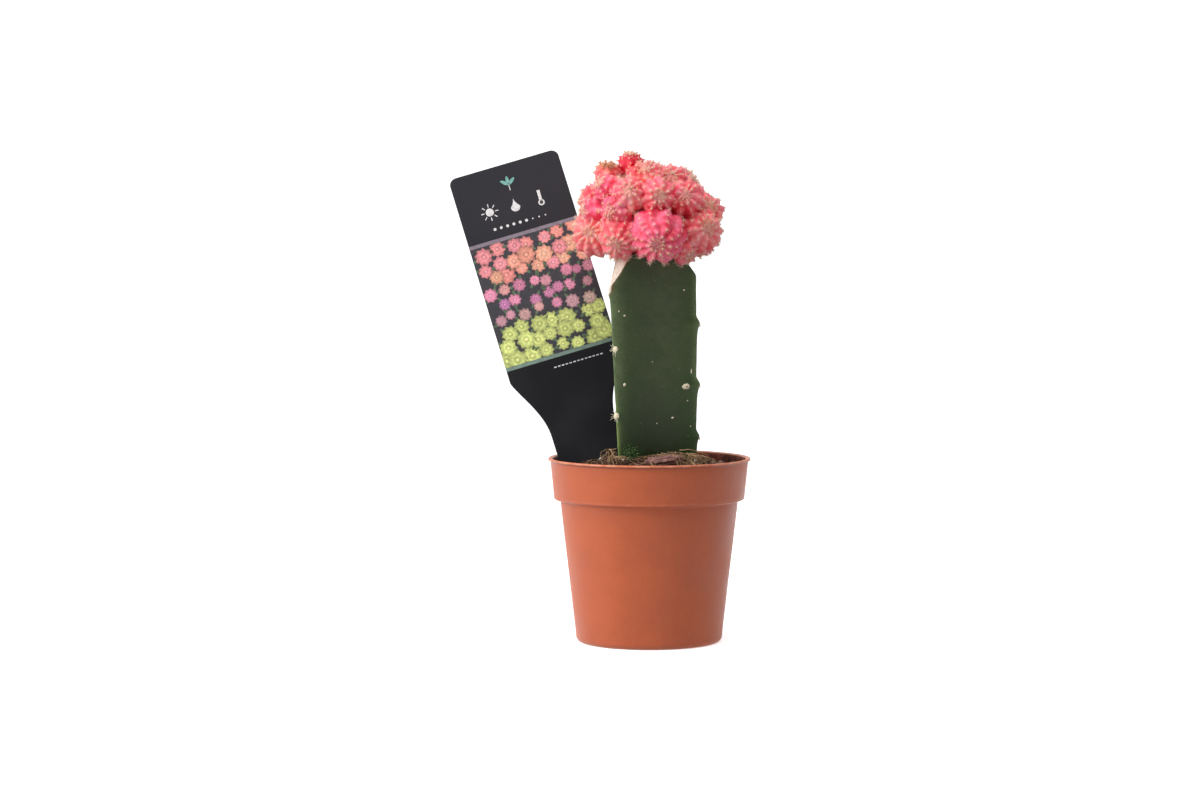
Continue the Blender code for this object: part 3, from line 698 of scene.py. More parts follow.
def label_look():
    """Near-black satin plastic with a faint moulding grain, and painted light making it a little paler
    towards its top.
    """
    look = Look("label_plastic", specular_ior_level=0.18)
    patch, fine, height = look.patches(18.0, 0.25, 0.8)
    look.base(patch, (16, 16, 20), (24, 24, 28))
    # painted light: paler towards the top
    look.tint(look.ramp(look.level(), 0.09, 0.14), (46, 45, 50))
    look.tint(fine, (42, 42, 47), 0.2)
    return look.done(look.ramp(patch, 0.0, 1.0, 0.42, 0.55), height, 0.02, 0.5)


def print_look():
    """Printing ink on the label: each patch's own colour, broken up a little as print on plastic is."""
    look = Look("label_ink", roughness=0.45)
    parts = {k: look.value_of(name) for k, name in enumerate(PRINT_VALUES)}
    own = look.node("ShaderNodeCombineColor", parts)
    light = look.ramp(look.cloud(1.1, 4.0), 0.3, 0.72, 0.78, 1.12)
    grey = look.node("ShaderNodeCombineColor", {0: light, 1: light, 2: light})
    look.colour = look.mix(1.0, own, grey, "MULTIPLY")
    return look.done(None, look.cloud(0.3), 0.01, 0.3)


def floor_look():
    """A plain pale floor, with the faintest cloudiness and a glow of its own, as a lit table has."""
    glow = {"emission_color": (1.0, 1.0, 1.0, 1.0), "emission_strength": 0.6}
    look = Look("pale_floor", roughness=0.9, specular_ior_level=0.1, **glow)
    look.base(look.cloud(300.0), (0.9, 0.9, 0.9, 1.0), (0.93, 0.93, 0.93, 1.0))
    return look.done()


# ---------------------------------------------------------------- pot

POT_STEPS, DRAIN_STEPS = 224, 40  # points round


def arc(centre, radius, start, end, steps):
    """Points on an arc in the (r, z) plane, with angles in degrees."""
    return np.array(centre) + radius * compass(np.radians(np.linspace(start, end, steps + 1)))


def along_line(corners, spacing):
    """Points along a line through the corners, each stretch divided evenly at about the spacing."""
    parts = []
    for start, end in zip(corners[:-1], corners[1:]):
        steps = max(1, int(np.linalg.norm(np.subtract(end, start)) / spacing))
        parts.append(np.linspace(start, end, steps, endpoint=False))
    return np.concatenate([*parts, [corners[-1]]])


def turned(profile, steps):
    """Rings of points: each (r, z) of a profile, turned round the pot's axis."""
    rings = profile[:, None, :1] * compass(full_turn(steps))
    return np.concatenate([rings, np.broadcast_to(profile[:, None, 1:], (len(profile), steps, 1))], -1)


def pot_inside(clearance):
    """The pot's inner wall as (r, z), from under the lip to the middle of the floor, held off it."""
    step, floor, foot = POT_HEIGHT - COLLAR_HEIGHT, POT_WALL + clearance, FOOT_RADIUS - FOOT_WIDTH
    return [
        (COLLAR_TOP - floor, POT_HEIGHT - 1.6),
        (COLLAR_BOTTOM - floor, step + 0.9 + clearance),
        (BODY_TOP - floor + 0.5, step - 1.0 + clearance),
        (BODY_TOP - floor, step - 2.2),
        (BODY_BOTTOM - floor, 2.6 + clearance),
        (FOOT_RADIUS - clearance, floor),
        (foot - 0.4 + 2.0 * clearance, floor),
        (foot - 1.8 + clearance, floor + FLOOR_LIFT),
        (PAD_RADIUS + 1.4 - clearance, floor + FLOOR_LIFT),
        (PAD_RADIUS - 2.0 * clearance, floor),
    ]


def make_pot():
    """A profile turned round the axis: pad, drained floor, ring foot, tapered body, rolled step, collar
    and lip bead, then down the inside, with a little unevenness. The paler edges, worn and with a painted
    highlight along the lip bead, and the painted shade under the lip are bell curves of the height about
    each edge."""
    step, lip_base, bead = POT_HEIGHT - COLLAR_HEIGHT, POT_HEIGHT - LIP_THICKNESS, LIP_THICKNESS / 2.0
    foot = FOOT_RADIUS - FOOT_WIDTH
    underside = [(PAD_RADIUS, 0.0), (PAD_RADIUS + 1.2, FLOOR_LIFT), (foot - 1.2, FLOOR_LIFT), (foot, 0.0)]
    outside = np.concatenate(
        [
            along_line(underside, 0.8),
            [(foot + 0.3, 0.0), (FOOT_RADIUS - 0.2, 0.0)],
            arc((BODY_BOTTOM - 1.9, 1.9), 1.9, -80.0, 0.0, 10),
            along_line([(BODY_BOTTOM + 0.15, 4.0), (BODY_TOP, step - 2.0)], 1.6),
            arc((BODY_TOP + 0.8, step - 1.2), 0.8, 180.0, 110.0, 6),
            arc((COLLAR_BOTTOM - 0.6, step + 0.2), 0.6, -80.0, 0.0, 8),
            along_line([(COLLAR_BOTTOM + 0.05, step + 1.0), (COLLAR_TOP - 0.1, lip_base - 1.3)], 1.4),
            arc((COLLAR_TOP + 0.65, lip_base - 0.55), 0.72, 180.0, 118.0, 5),
            arc((LIP_RADIUS - bead, lip_base + bead), bead, -80.0, 90.0, 12),
            [(LIP_RADIUS - 0.9, POT_HEIGHT - 0.05), (LIP_RADIUS - 1.4, POT_HEIGHT - 0.25)],
        ]
    )
    inside = along_line([(COLLAR_TOP - POT_WALL + 0.1, POT_HEIGHT - 0.6), *pot_inside(0.0)], 1.2)
    profile = np.concatenate([outside, inside])
    rings = turned(profile, POT_STEPS)
    rings = rings + 0.04 * grain(rings, 11.0, 3)[..., None] * unit(rings * (1.0, 1.0, 0.0))
    radius, height = profile[:, :1], profile[:, 1:]
    shell = np.arange(len(profile))[:, None] < len(outside)
    # paler edges: a painted highlight along the lip bead, and wear at the step and the foot
    edge = 1.3 * bell((height - POT_HEIGHT + 0.3) / 0.5) * (radius > COLLAR_TOP - 0.8)
    edge += (0.3 * bell((height - step - 0.3) / 0.3) + 0.5 * bell(height / 0.7)) * shell
    # painted shade under the lip bead
    groove = bell((height - lip_base + 0.05) / 0.22) * shell
    inner = ~shell & (height < POT_HEIGHT - 0.5)
    piece = Piece()
    piece.add_rings(rings, ends=(0.0, 0.0), edge=edge, groove=groove, inside=inner)
    drill(piece.make("pot_shell", [pot_look()], ["pot"]))


def drill(pot):
    """Cuts the ring of drain holes through the floor, and keeps the result as the pot's mesh."""
    holes = Piece()
    past_floor = FLOOR_LIFT + POT_WALL + 1.0
    shaft = turned(np.array([(DRAIN_RADIUS, -1.0), (DRAIN_RADIUS, past_floor)]), DRAIN_STEPS)
    for place in DRAIN_CIRCLE * compass(math.radians(DRAIN_TURN) + full_turn(DRAIN_COUNT)):
        holes.add_rings(shaft + (*place, 0.0))
    cutter = holes.make("drain_cutter", [])
    cut = pot.modifiers.new("drain_holes", "BOOLEAN")
    cut.operation, cut.solver, cut.object = "DIFFERENCE", "EXACT", cutter
    depsgraph = bpy.context.evaluated_depsgraph_get()
    shown = pot.evaluated_get(depsgraph)
    pot.data = bpy.data.meshes.new_from_object(shown, preserve_all_data_layers=True, depsgraph=depsgraph)
    pot.modifiers.clear()
    bpy.data.objects.remove(cutter)
    pot.data.shade_smooth()
    pot.data.set_sharp_from_angle(angle=math.radians(32.0))


# ---------------------------------------------------------------- stem

TRIM_TURNS = np.radians((9.0, 21.0, 0.0))  # how far each cut faces round from its own rib
TRIM_INSET = 0.6  # how far inside the rib's edge each cut starts
NARROWS_FROM = SOIL_AT_STEM - 3.0
CUT_SHARPNESS, CUT_UNIT, FAR = 70.0, 20.0, 99.0
RIB_EDGE, LOW_RIB_EDGE = 15.0, 14.0  # about how far a rib's edge is from the axis
STEM_STEPS, STEM_ROWS, ROOT_STATIONS = 220, 180, 14
WOOL_HAIRS = 70
SPINES, SMALL_SPINES = (11, (2.0, 3.6)), (5, (0.6, 1.3))  # how many, and the shortest and longest


def margin_swell(rib, height):
    """How far a rib's margin stands out: it rises over 3 mm to each areole, then dies away below it, two
    thirds of it as e to the minus distance over 1.6 mm, and a third over 7 mm."""
    swell = np.zeros_like(height)
    for areole in AREOLE_HEIGHTS[rib]:
        below = areole + 0.4 - height
        fall = np.maximum(below, 0.0)
        dying = 0.65 * np.exp(-fall / 1.6) + 0.35 * np.exp(-fall / 7.0)
        swell = np.maximum(swell, AREOLE_SWELLS[rib] * smooth_step(-3.0, 0.0, below) * dying)
    return swell


def stem_section(turn, height):
    """Distance from the stem's axis to its skin before the ribs are trimmed.

    Each flat flank gives an inverse distance. Their 20th powers are added, which rounds the ribs, and each
    flank is hollowed along its middle. The margins' swellings stand on the ribs, and a lip on the first one
    at the foot of its callus. Below the peat the stem narrows towards its foot."""
    turn, height = np.broadcast_arrays(np.asarray(turn, float), np.asarray(height, float))
    way = compass(turn)
    tips = []
    for rib, azimuth in enumerate(RIB_AZIMUTHS):
        taper = RIB_ONE_TAPER if rib == 0 else 0.0
        reach = RIB_REACH[rib] - taper * np.maximum(RIB_TRIMS[0][0] - height, 0.0)
        tips.append(reach[..., None] * compass(azimuth))
    inverse, hollow, swell = 0.0, 0.0, 0.0
    for rib, azimuth in enumerate(RIB_AZIMUTHS):
        along = tips[(rib + 1) % 3] - tips[rib]
        normal = unit(np.stack([along[..., 1], -along[..., 0]], -1))
        facing = (way * normal).sum(-1)
        inverse = inverse + (np.maximum(facing, 0.0) / (normal * tips[rib]).sum(-1)) ** RIB_SHARPNESS
        aside = np.arccos(np.clip(facing, -1.0, 1.0)) / math.radians(60.0)
        hollow = np.maximum(hollow, FLANK_HOLLOW * np.maximum(0.0, 1.0 - aside**2))
        aside = np.angle(np.exp(1j * (turn - azimuth)))
        swell = swell + margin_swell(rib, height) * bell(aside / 0.13)
        if rib == 0:
            swell = swell + 0.5 * np.exp(-(((height - CALLUS_FOOT) / 1.7) ** 2) - (aside / 0.16) ** 2)
    buried = np.clip((NARROWS_FROM - height) / (NARROWS_FROM - STEM_FOOT), 0.0, 1.0)
    return (inverse ** (-1.0 / RIB_SHARPNESS) - hollow + swell) * (1.0 - 0.55 * buried**1.5)


def trim_reach(turn, height, bulge=0.9):
    """Distance from the stem's axis to the nearest of the three slanting cuts, far away where none is met.
    The callus on the first one swells as a bell curve of the height."""
    nearest = np.full(np.broadcast(turn, height).shape, FAR)
    for rib, (level, slope) in enumerate(RIB_TRIMS):
        facing = np.cos(turn - RIB_AZIMUTHS[rib] - TRIM_TURNS[rib])
        start = (RIB_REACH[rib] - TRIM_INSET) * math.cos(TRIM_TURNS[rib])
        start = start + (rib == 0) * bulge * bell((height - CALLUS_FOOT - 2.2) / 2.4)
        reach = (start + (level - height) * math.tan(math.radians(slope))) / np.maximum(facing, 1e-3)
        nearest = np.where(facing > 0.05, np.minimum(nearest, np.maximum(reach, 0.5)), nearest)
    return nearest


def stem_reach(turn, height):
    """Distance to the trimmed skin: the inverse 70th powers of the section and of the cuts are added."""
    skin, cut = stem_section(turn, height) / CUT_UNIT, trim_reach(turn, height) / CUT_UNIT
    return CUT_UNIT * (skin**-CUT_SHARPNESS + cut**-CUT_SHARPNESS) ** (-1.0 / CUT_SHARPNESS)


def stem_points(turn, height, reach=None):
    """Points at a turn about the stem's axis, a height and a reach, or on the skin where none is given."""
    reach = stem_reach(turn, height) if reach is None else reach
    turn, height, reach = np.broadcast_arrays(turn, height, reach)
    return np.stack([STEM_AXIS[0] + reach * np.cos(turn), STEM_AXIS[1] + reach * np.sin(turn), height], -1)


def about_stem(places):
    """The turn and the distance of each place about the stem's axis."""
    off = places[..., :2] - STEM_AXIS
    return np.arctan2(off[..., 1], off[..., 0]), np.linalg.norm(off, axis=-1)


def even_turns(count):
    """Turns whose points are evenly spread round the stem's section, and three times closer at the ribs."""
    fine = np.linspace(-np.pi, np.pi, 6001)
    line = stem_points(fine, 90.0, stem_section(fine, 90.0))
    apart = np.abs(np.angle(np.exp(1j * (fine[:, None] - RIB_AZIMUTHS)))).min(1)
    weight = 1.0 + 2.0 * bell(apart[1:] / 0.12)
    run = np.concatenate([[0.0], np.cumsum(np.linalg.norm(np.diff(line, axis=0), axis=1) * weight)])
    return np.interp(np.linspace(0.0, run[-1], count, endpoint=False), run, fine)


def root_paths():
    """Each root leaves the stem's foot and runs down and outwards on a sine curve, turning as it goes."""
    t = np.linspace(0.0, 1.0, ROOT_STATIONS)
    azimuth = math.radians(20.0) + full_turn(ROOT_COUNT)[:, None] + 0.5 * t * t
    spread = 2.0 + (ROOT_SPREAD - 2.0) * np.sin(0.5 * np.pi * t)
    height = np.broadcast_to((STEM_FOOT + 4.0) * (1.0 - t) + ROOT_END * t, azimuth.shape)
    return stem_points(azimuth, height, spread)


def front_turn(x, height):
    """The turn on the front flank whose skin lies at x."""
    turns = np.linspace(RIB_AZIMUTHS[0] + 0.02, RIB_AZIMUTHS[1] - 0.02, 800)
    return np.interp(x, stem_points(turns, height)[:, 0], turns)


def bristle_paths(places, out, count, lean, length, random, stations=3):
    """Bristles round each place: spread evenly about its outward direction with some play, each leaning off
    it by an angle between the two given, and curling back as the square of the distance along it."""
    spots = len(places)
    across, over = side_frames(out)
    around = 2.0 * np.pi * (np.arange(count) + random.uniform(-0.35, 0.35, (spots, count))) / count
    around = around + random.uniform(0.0, 2.0 * np.pi, (spots, 1))
    tilt = random.uniform(*lean, (spots, count))
    side = np.cos(around)[..., None] * across[:, None] + np.sin(around)[..., None] * over[:, None]
    way = np.cos(tilt)[..., None] * out[:, None] + np.sin(tilt)[..., None] * side
    long = random.uniform(*length, (spots, count))[..., None, None]
    t = np.linspace(0.0, 1.0, stations)[:, None]
    start = (places - 0.12 * out)[:, None, None]
    paths = start + long * (t * way[:, :, None] - 0.12 * t * t * out[:, None, None])
    return paths.reshape(-1, stations, 3)


def make_stem():
    """The skin is the trimmed section at every turn and height, with a little unevenness. The roots, wool,
    spines and small scars are parts of the same piece."""
    turn = even_turns(STEM_STEPS)
    below = (STEM_FOOT, 41.0, 46.0, 50.0, 53.0)
    height = np.concatenate([below, np.linspace(55.0, STEM_TOP, STEM_ROWS)])[:, None]
    plain = stem_points(turn, height)
    uneven = 0.14 * layered_grain(plain, 9.0, 11) + 0.035 * grain(plain, 1.3, 12)
    skin = stem_points(turn, height, stem_reach(turn, height) + uneven)

    apart = np.abs(np.angle(np.exp(1j * (turn[:, None] - RIB_AZIMUTHS))))
    depth = stem_section(turn, height) - trim_reach(turn, height, 0.0) + 0.22 * grain(plain, 1.1, 13)
    depth = depth + 0.7 * np.exp(-(((height - CALLUS_FOOT - 0.3) / 1.3) ** 2) - (apart[:, 0] / 0.13) ** 2)
    x, y, z = np.moveaxis(plain, -1, 0)
    values = {
        "callus": smooth_step(0.3, 0.7, depth),
        "cut_edge": 0.85 * smooth_step(-0.1, 0.2, depth) * (1.0 - smooth_step(0.3, 0.65, depth)),
        # where the painted highlight along each rib's edge goes
        "rib": bell(apart * RIB_EDGE / (1.8, 0.8, 0.8)).max(1),
        "beside_rib": bell(apart * RIB_EDGE / (5.0, 3.6, 4.0)).max(1),
        # painted highlight on the lit lower edge of the first rib
        "fresh": 0.9 * (bell(apart[:, 0] * LOW_RIB_EDGE / 0.6) * smooth_step(86.0, 66.0, height)),
        "algae": bell((x + 6.2) / 3.2) * smooth_step(65.5, 60.0, z) * (y < 0.0),
    }
    piece = Piece()
    piece.add_rings(skin, SKIN_MAP, (0.0, 0.0), **values)
    piece.add_strands(root_paths(), ROOT_RADIUS, 8, SKIN)
    random = np.random.default_rng(21)
    add_areoles(piece, random)
    add_scars(piece, random)
    spines = spine_look("pale_spines", (255, 246, 222), (246, 232, 200), (236, 212, 176))
    looks = [stem_look(), spines, litter_look("corky_scars", (138, 104, 64), (232, 222, 192))]
    piece.make("rootstock_skin", looks, ["rootstock"], sharp=46.0)


def add_areoles(piece, random):
    """A corky pad with wool and spines at each areole below the cuts, small ones on the second rib. Those on
    the first rib stand a little off its edge, farther the higher they are."""
    for rib, azimuth in enumerate(RIB_AZIMUTHS):
        levels = np.array([level for level in AREOLE_HEIGHTS[rib] if level < RIB_TRIMS[rib][0] - 1.0])
        count, small = len(levels), rib == 1
        spots = stem_points(azimuth + np.interp(levels, (72.2, 93.7), (0.012, 0.038)) * (rib == 0), levels)
        out = np.tile(unit(np.array((math.cos(azimuth), math.sin(azimuth), 0.12))), (count, 1))
        pads = np.tile(np.array((1.1, 1.1, 0.65)) * (0.4 if small else 1.0), (count, 1))
        piece.add_domes(spots, facing_turns(out), pads, CORK, random, np.full(count, 0.3 if small else 0.95))
        wool_length = (0.3, 0.6) if small else (0.8, 1.3)
        wool = bristle_paths(spots, out, WOOL_HAIRS, (0.1, 1.4), wool_length, random)
        piece.add_strands(wool, 0.06, 3, HAIR, tan=0.03 + 0.6 * small)
        spines, length = SMALL_SPINES if small else SPINES
        paths = bristle_paths(spots, out, spines, (0.6, 1.4), length, random, 5)
        piece.add_strands(paths, 0.1, 5, HAIR, tan=0.05)


def add_scars(piece, random):
    """Small corky scars as low domes on the front flank, each turned to lie along the skin."""
    x, level = SCARS[:, 0], SCARS[:, 1]
    turns = np.array([front_turn(*place) for place in zip(x, level)])
    places = stem_points(turns, level)
    across = unit(stem_points(turns + 0.01, level) - places)
    frames = np.stack([across, np.tile(UP, (len(across), 1)), unit(np.cross(across, UP))], -1)
    piece.add_domes(places, frames, SCARS[:, 2:5], CORK, random, SCARS[:, 5])


# ---------------------------------------------------------------- peat

BED_RADIUS = 29.4  # how far out loose bits lie
BED_STEPS, BED_RINGS = 300, 74
CRUMB_DOMES = ((3.1, 0.9, 32), (1.5, 0.45, 36))  # size, rise and seed
CRUMB_REACH = 0.66  # how far a dome reaches from its spot, over its size
FIBRE_STATIONS = 9
CHIP_ROWS, CHIP_STEPS = 44, 72


def soil_level(x, y):
    """The peat's even level: flat round the stem, then down to the wall by 3t² − 2t³."""
    return SOIL_AT_STEM - (SOIL_AT_STEM - SOIL_AT_WALL) * smooth_step(8.0, 30.0, np.hypot(x, y))


def soil_surface(x, y):
    """The level with crumbs on it: domes round scattered spots at two sizes, and fine unevenness."""
    flat = np.stack([x, y, np.zeros_like(x)], -1)
    height = soil_level(x, y) - 0.45 + 0.3 * layered_grain(flat, 5.0, 31)
    for size, rise, seed in CRUMB_DOMES:
        off = nearest_spot(flat, size, seed) / CRUMB_REACH
        height = height + rise * np.sqrt(np.maximum(0.0, 1.0 - off**2))
    return height


def on_soil(x, y):
    """Places on the surface."""
    return np.stack([x, y, soil_surface(x, y)], -1)


def clear_of_stem(places, margin=0.25):
    """Moves points that lie inside the stem straight out from its axis to just off its skin."""
    turn, reach = about_stem(places)
    skin = stem_reach(turn, np.maximum(places[..., 2], 54.0)) + margin
    return stem_points(turn, places[..., 2], np.maximum(reach, skin))


def scattered(random, count, inner=0.0):
    """Random places spread evenly over the peat, at least as far from the axis as inner, off the stem."""
    radius = np.sqrt(random.uniform((inner / BED_RADIUS) ** 2, 1.0, 3 * count)) * BED_RADIUS
    flat = radius[:, None] * compass(random.uniform(-np.pi, np.pi, 3 * count))
    turn, away = about_stem(flat)
    return on_soil(*flat[away > stem_reach(turn, 57.0) + 0.4][:count].T)


def fibre_paths(starts, headings, lengths, arches, random, wander=0.55):
    """Each fibre sets out along its heading, turns a little at random at each step, follows the peat
    and rises between its ends as a half sine wave."""
    t = np.linspace(0.0, 1.0, FIBRE_STATIONS)
    turns = headings[:, None] + np.cumsum(random.normal(0.0, wander, (len(starts), FIBRE_STATIONS)), 1)
    steps = (lengths / (FIBRE_STATIONS - 1))[:, None, None] * compass(turns)
    flat = starts[:, None, :2] + np.cumsum(steps, 1) - steps[:, :1]
    reach = np.maximum(np.linalg.norm(flat, axis=-1, keepdims=True), 1e-6)
    flat = flat * np.minimum(1.0, (BED_RADIUS - 0.1) / reach)
    height = soil_surface(flat[..., 0], flat[..., 1]) + 0.12 + arches[:, None] * np.sin(np.pi * t)
    return clear_of_stem(np.concatenate([flat, height[..., None]], -1))


def make_peat():
    """The bed is a closed form turned to the pot's inner wall with the crumbed surface on top."""
    wall = np.array(pot_inside(0.3)[::-1])
    wall[-1, 1] = SOIL_AT_WALL - 1.2
    top = np.linspace(wall[-1, 0], 0.6, BED_RINGS)[:, None, None] * compass(full_turn(BED_STEPS))
    bed = Piece()
    bed.add_rings(np.concatenate([turned(wall, BED_STEPS), on_soil(top[..., 0], top[..., 1])]))
    bed.make("peat_bed", [peat_look()], ["soil"])
    random = np.random.default_rng(5)
    make_litter(random)
    make_fibres(random)


def rough_sizes(random, count, size, play):
    """Half sizes of rough bits: one size for each bit, with play between its three directions."""
    return random.uniform(*size, (count, 1)) * random.uniform(*play, (count, 3))


def flat_sizes(random, count, *limits):
    """Half sizes of flat bits, each direction between its own two limits."""
    return np.stack([random.uniform(*pair, count) for pair in limits], -1)


def make_litter(random):
    """Loose bits on the peat: crumbs, shreds lying flat, thin flakes, perlite, and specks of moss, most of
    them in one patch by the stem and climbing it."""
    litter = Piece()
    crumbs, bark, perlite, moss = range(4)
    looks = [
        litter_look("peat_crumbs", (26, 16, 13), (84, 56, 42)),
        litter_look("bark_crumbs", (58, 36, 30), (150, 112, 92)),
        litter_look("perlite", (196, 190, 180), (240, 238, 232)),
        litter_look("moss_specks", (24, 44, 14), (120, 146, 96)),
    ]

    def strew(look, places, sizes, roughness, tone, turns=None):
        """Adds one kind of bit, with its look's place in the list."""
        litter.add_lumps(places, sizes, look, random, roughness, turns, FULL_MAP, tone=tone)

    places = scattered(random, CRUMBS) + (0.0, 0.0, 0.1)
    sizes = rough_sizes(random, CRUMBS, (0.2, 0.7), (0.7, 1.3))
    strew(crumbs, places, sizes, 0.3, random.uniform(0, 1, CRUMBS) ** 2)

    places = scattered(random, SHREDS) + (0.0, 0.0, 0.35)
    sizes = flat_sizes(random, SHREDS, (0.5, 1.7), (0.14, 0.32), (0.1, 0.22))
    heading = compass(random.uniform(-np.pi, np.pi, SHREDS))
    along = unit(np.concatenate([heading, random.normal(0.0, 0.3, (SHREDS, 1))], -1))
    level = unit(np.cross(UP, along))
    turns = np.stack([along, level, np.cross(along, level)], -1)
    strew(bark, places, sizes, 0.2, random.uniform(0, 0.9, SHREDS) ** 1.6, turns)

    places = scattered(random, FLAKES, 12.0) + (0.0, 0.0, 0.4)
    sizes = flat_sizes(random, FLAKES, (0.9, 2.2), (0.5, 1.1), (0.2, 0.4))
    lean = np.concatenate([random.normal(0, 0.35, (FLAKES, 2)), np.ones((FLAKES, 1))], -1)
    strew(bark, places, sizes, 0.25, random.uniform(0, 0.7, FLAKES), facing_turns(unit(lean)))

    places = scattered(random, PERLITE, 13.0)
    places[:2] = on_soil(*np.transpose(PERLITE_AT)) + ((0.0, 0.0, 0.7), (0.0, 0.0, 0.0))
    sizes = rough_sizes(random, PERLITE, (0.4, 0.75), (0.8, 1.2))
    strew(perlite, places + (0.0, 0.0, 0.4), sizes, 0.3, random.uniform(0.3, 1, PERLITE))

    places = scattered(random, MOSS, 10.0)
    patch = np.array(MOSS_PATCH_AT) + random.normal(0.0, 1.5, (MOSS_PATCH, 2))
    places[:MOSS_PATCH] = on_soil(*patch.T)
    places = clear_of_stem(places, -0.05)
    places[:MOSS_CLIMBING, 2] += random.uniform(0.0, 1.0, MOSS_CLIMBING) ** 1.5 * 4.5
    sizes = random.uniform(0.08, 0.26, (MOSS, 1))
    strew(moss, places + (0.0, 0.0, 0.2), sizes, 0.3, random.uniform(0, 1, MOSS) ** 2)
    litter.make("peat_litter", looks)


def make_fibres(random):
    """Dry fibres strewn over the peat, more of them in front of the stem, and the bundles of rootlets, each
    a line from start to end with a half sine bow and a random walk."""
    fibres = Piece()
    starts = scattered(random, FIBRES, 6.0)
    headings = random.uniform(-np.pi, np.pi, FIBRES)
    arches = random.uniform(0.0, 1.0, FIBRES) ** 3 * 1.7
    strewn = fibre_paths(starts, headings, random.uniform(3.0, 11.0, FIBRES), arches, random)
    near = [random.uniform(3.0, 17.0, FRONT_FIBRES), random.uniform(-15.0, -8.5, FRONT_FIBRES)]
    starts = clear_of_stem(np.stack([*near, np.full(FRONT_FIBRES, 58.0)], -1))
    arches = random.uniform(0.0, 1.0, FRONT_FIBRES) ** 1.5 * 3.0
    headings = random.normal(0.0, 0.7, FRONT_FIBRES) + np.pi * random.integers(0, 2, FRONT_FIBRES)
    front = fibre_paths(starts, headings, random.uniform(3, 9, FRONT_FIBRES), arches, random, 0.4)
    paths = np.concatenate([strewn, front])
    radius = random.uniform(0.06, 0.15, len(paths))
    fibres.add_strands(paths, radius, 5, 0, FULL_MAP, tone=random.uniform(0, 1, len(paths)) ** 1.8)
    t = np.linspace(0.0, 1.0, FIBRE_STATIONS)[:, None]
    for start, spread, end, end_spread, bow, count, radius in ROOTLETS:
        start = np.array(start) + random.normal(0.0, 1.0, (count, 1, 3)) * spread
        end = np.array(end) + random.uniform(-1.0, 1.0, (count, 1, 3)) * end_spread
        bow = np.array(bow) * random.uniform(0.2, 1.4, (count, 1, 1)) * np.sin(np.pi * t)
        walk = np.cumsum(random.normal(0.0, 0.24, (count, FIBRE_STATIONS, 3)), 1)
        paths = clear_of_stem(start * (1 - t) + end * t + bow + walk, radius)
        radii = radius * random.uniform(0.7, 1.2, count)
        fibres.add_strands(paths, radii, 6, 0, FULL_MAP, tone=random.uniform(0.1, 1.0, count))
    fibres.make("peat_fibres", [litter_look("dry_fibres", (78, 50, 38), (196, 162, 122))])


def make_flake():
    """A blunt rod along its own length, with a cross-section of rounded corners, grooved lengthwise by
    stretched grain, bent as a sine wave and flat underneath where it lies on the peat."""
    t = -np.cos(np.pi * (np.arange(CHIP_ROWS) + 0.5) / CHIP_ROWS)[:, None]
    way = compass(full_turn(CHIP_STEPS))
    swell = (1.0 - np.abs(t) ** 3.2) ** 0.5
    corner = (np.abs(way) ** 3.0).sum(-1) ** (-1.0 / 3.0)
    rx, ry, rz = CHIP_RADII
    sides = (rx * t, ry * swell * corner * way[:, 0], rz * swell * corner * way[:, 1])
    plain = np.stack(np.broadcast_arrays(*sides), -1)
    line = grain(plain / (7.0, 0.42, 0.5), 1.0, 41)
    rough = 0.2 * line + 0.16 * grain(plain, 1.3, 42) + 0.06 * grain(plain, 0.6, 43)
    plain = plain * (1.0 + rough[..., None])
    plain[..., 2] += 0.35 * np.sin(2.4 * plain[..., 0] / rx)
    plain[..., 2] = np.maximum(plain[..., 2], soil_level(*CHIP_CENTRE[:2]) - CHIP_CENTRE[2] + 0.1)
    flat = rotated(plain[..., :2], CHIP_TURN)
    piece = Piece()
    rings = np.concatenate([flat, plain[..., 2:]], -1) + CHIP_CENTRE
    piece.add_rings(rings, ends=(0.5, 0.5), line=0.5 + 0.5 * line)
    piece.make("bark_flake", [bark_look()], ["bark_chip"])


# ---------------------------------------------------------------- head

PRESSED = 0.85  # how far two bodies overlap past the plane between them
SEATED = 0.45  # how far a body reaches past the plane that parts it from the stem
PRESS_SHARPNESS = 36.0
HELD_IN = 0.6  # how much a pup's radius leaves for the ribs on it
RIBS_TO_RADIUS, FEWEST_RIBS = 1.45, 7
AREOLE_ANGLES = (0.12, 2.1)  # where areoles stand, off the growing axis
OUTER_SIDE = 1.95  # how far off the growing axis the finer grid goes
MOTHER_SEED, PUP_SEED, SEED_STEP = 700, 710, 13
GOLDEN_TURN = math.radians(137.5)
CROWN_AREOLES, CROWN_BRISTLES, TUFT_BRISTLES = 24, 6, 16
AREOLE_BRISTLES, BRISTLE_RADIUS = 8, 0.088
SKIN_STEP, MOTHER_STEP = 0.4, 0.8  # between points on a pup and on the mother body

# Which way a body's apex faces, where that isn't straight away from the mother body
AIMS = {
    "front_low": (0.0, -0.93, -0.36),
    "front_centre": (0.15, -1.0, -0.02),
    "front_left": (-0.1, -0.95, 0.3),
    "front_left_low": (-0.25, -0.85, -0.45),
    "front_right": (0.0, -0.97, 0.22),
    "left_low": (-0.35, -0.92, 0.1),
    "right_low": (0.47, -0.87, 0.1),
    "right_mid": (0.3, -0.86, 0.4),
    "top_right": (0.12, -0.9, 0.42),
    "top_crown": (0.0, -0.3, 1.0),
    "top_tufted": (0.1, -0.5, 1.0),
}
# Ribs, where they aren't worked out from the body's radius
RIB_COUNTS = {"front_low": 11, "top_crown": 8, "mother": 14}
BALLS = {"mother": MOTHER} | {name: row[:4] for name, row in PUPS.items()}


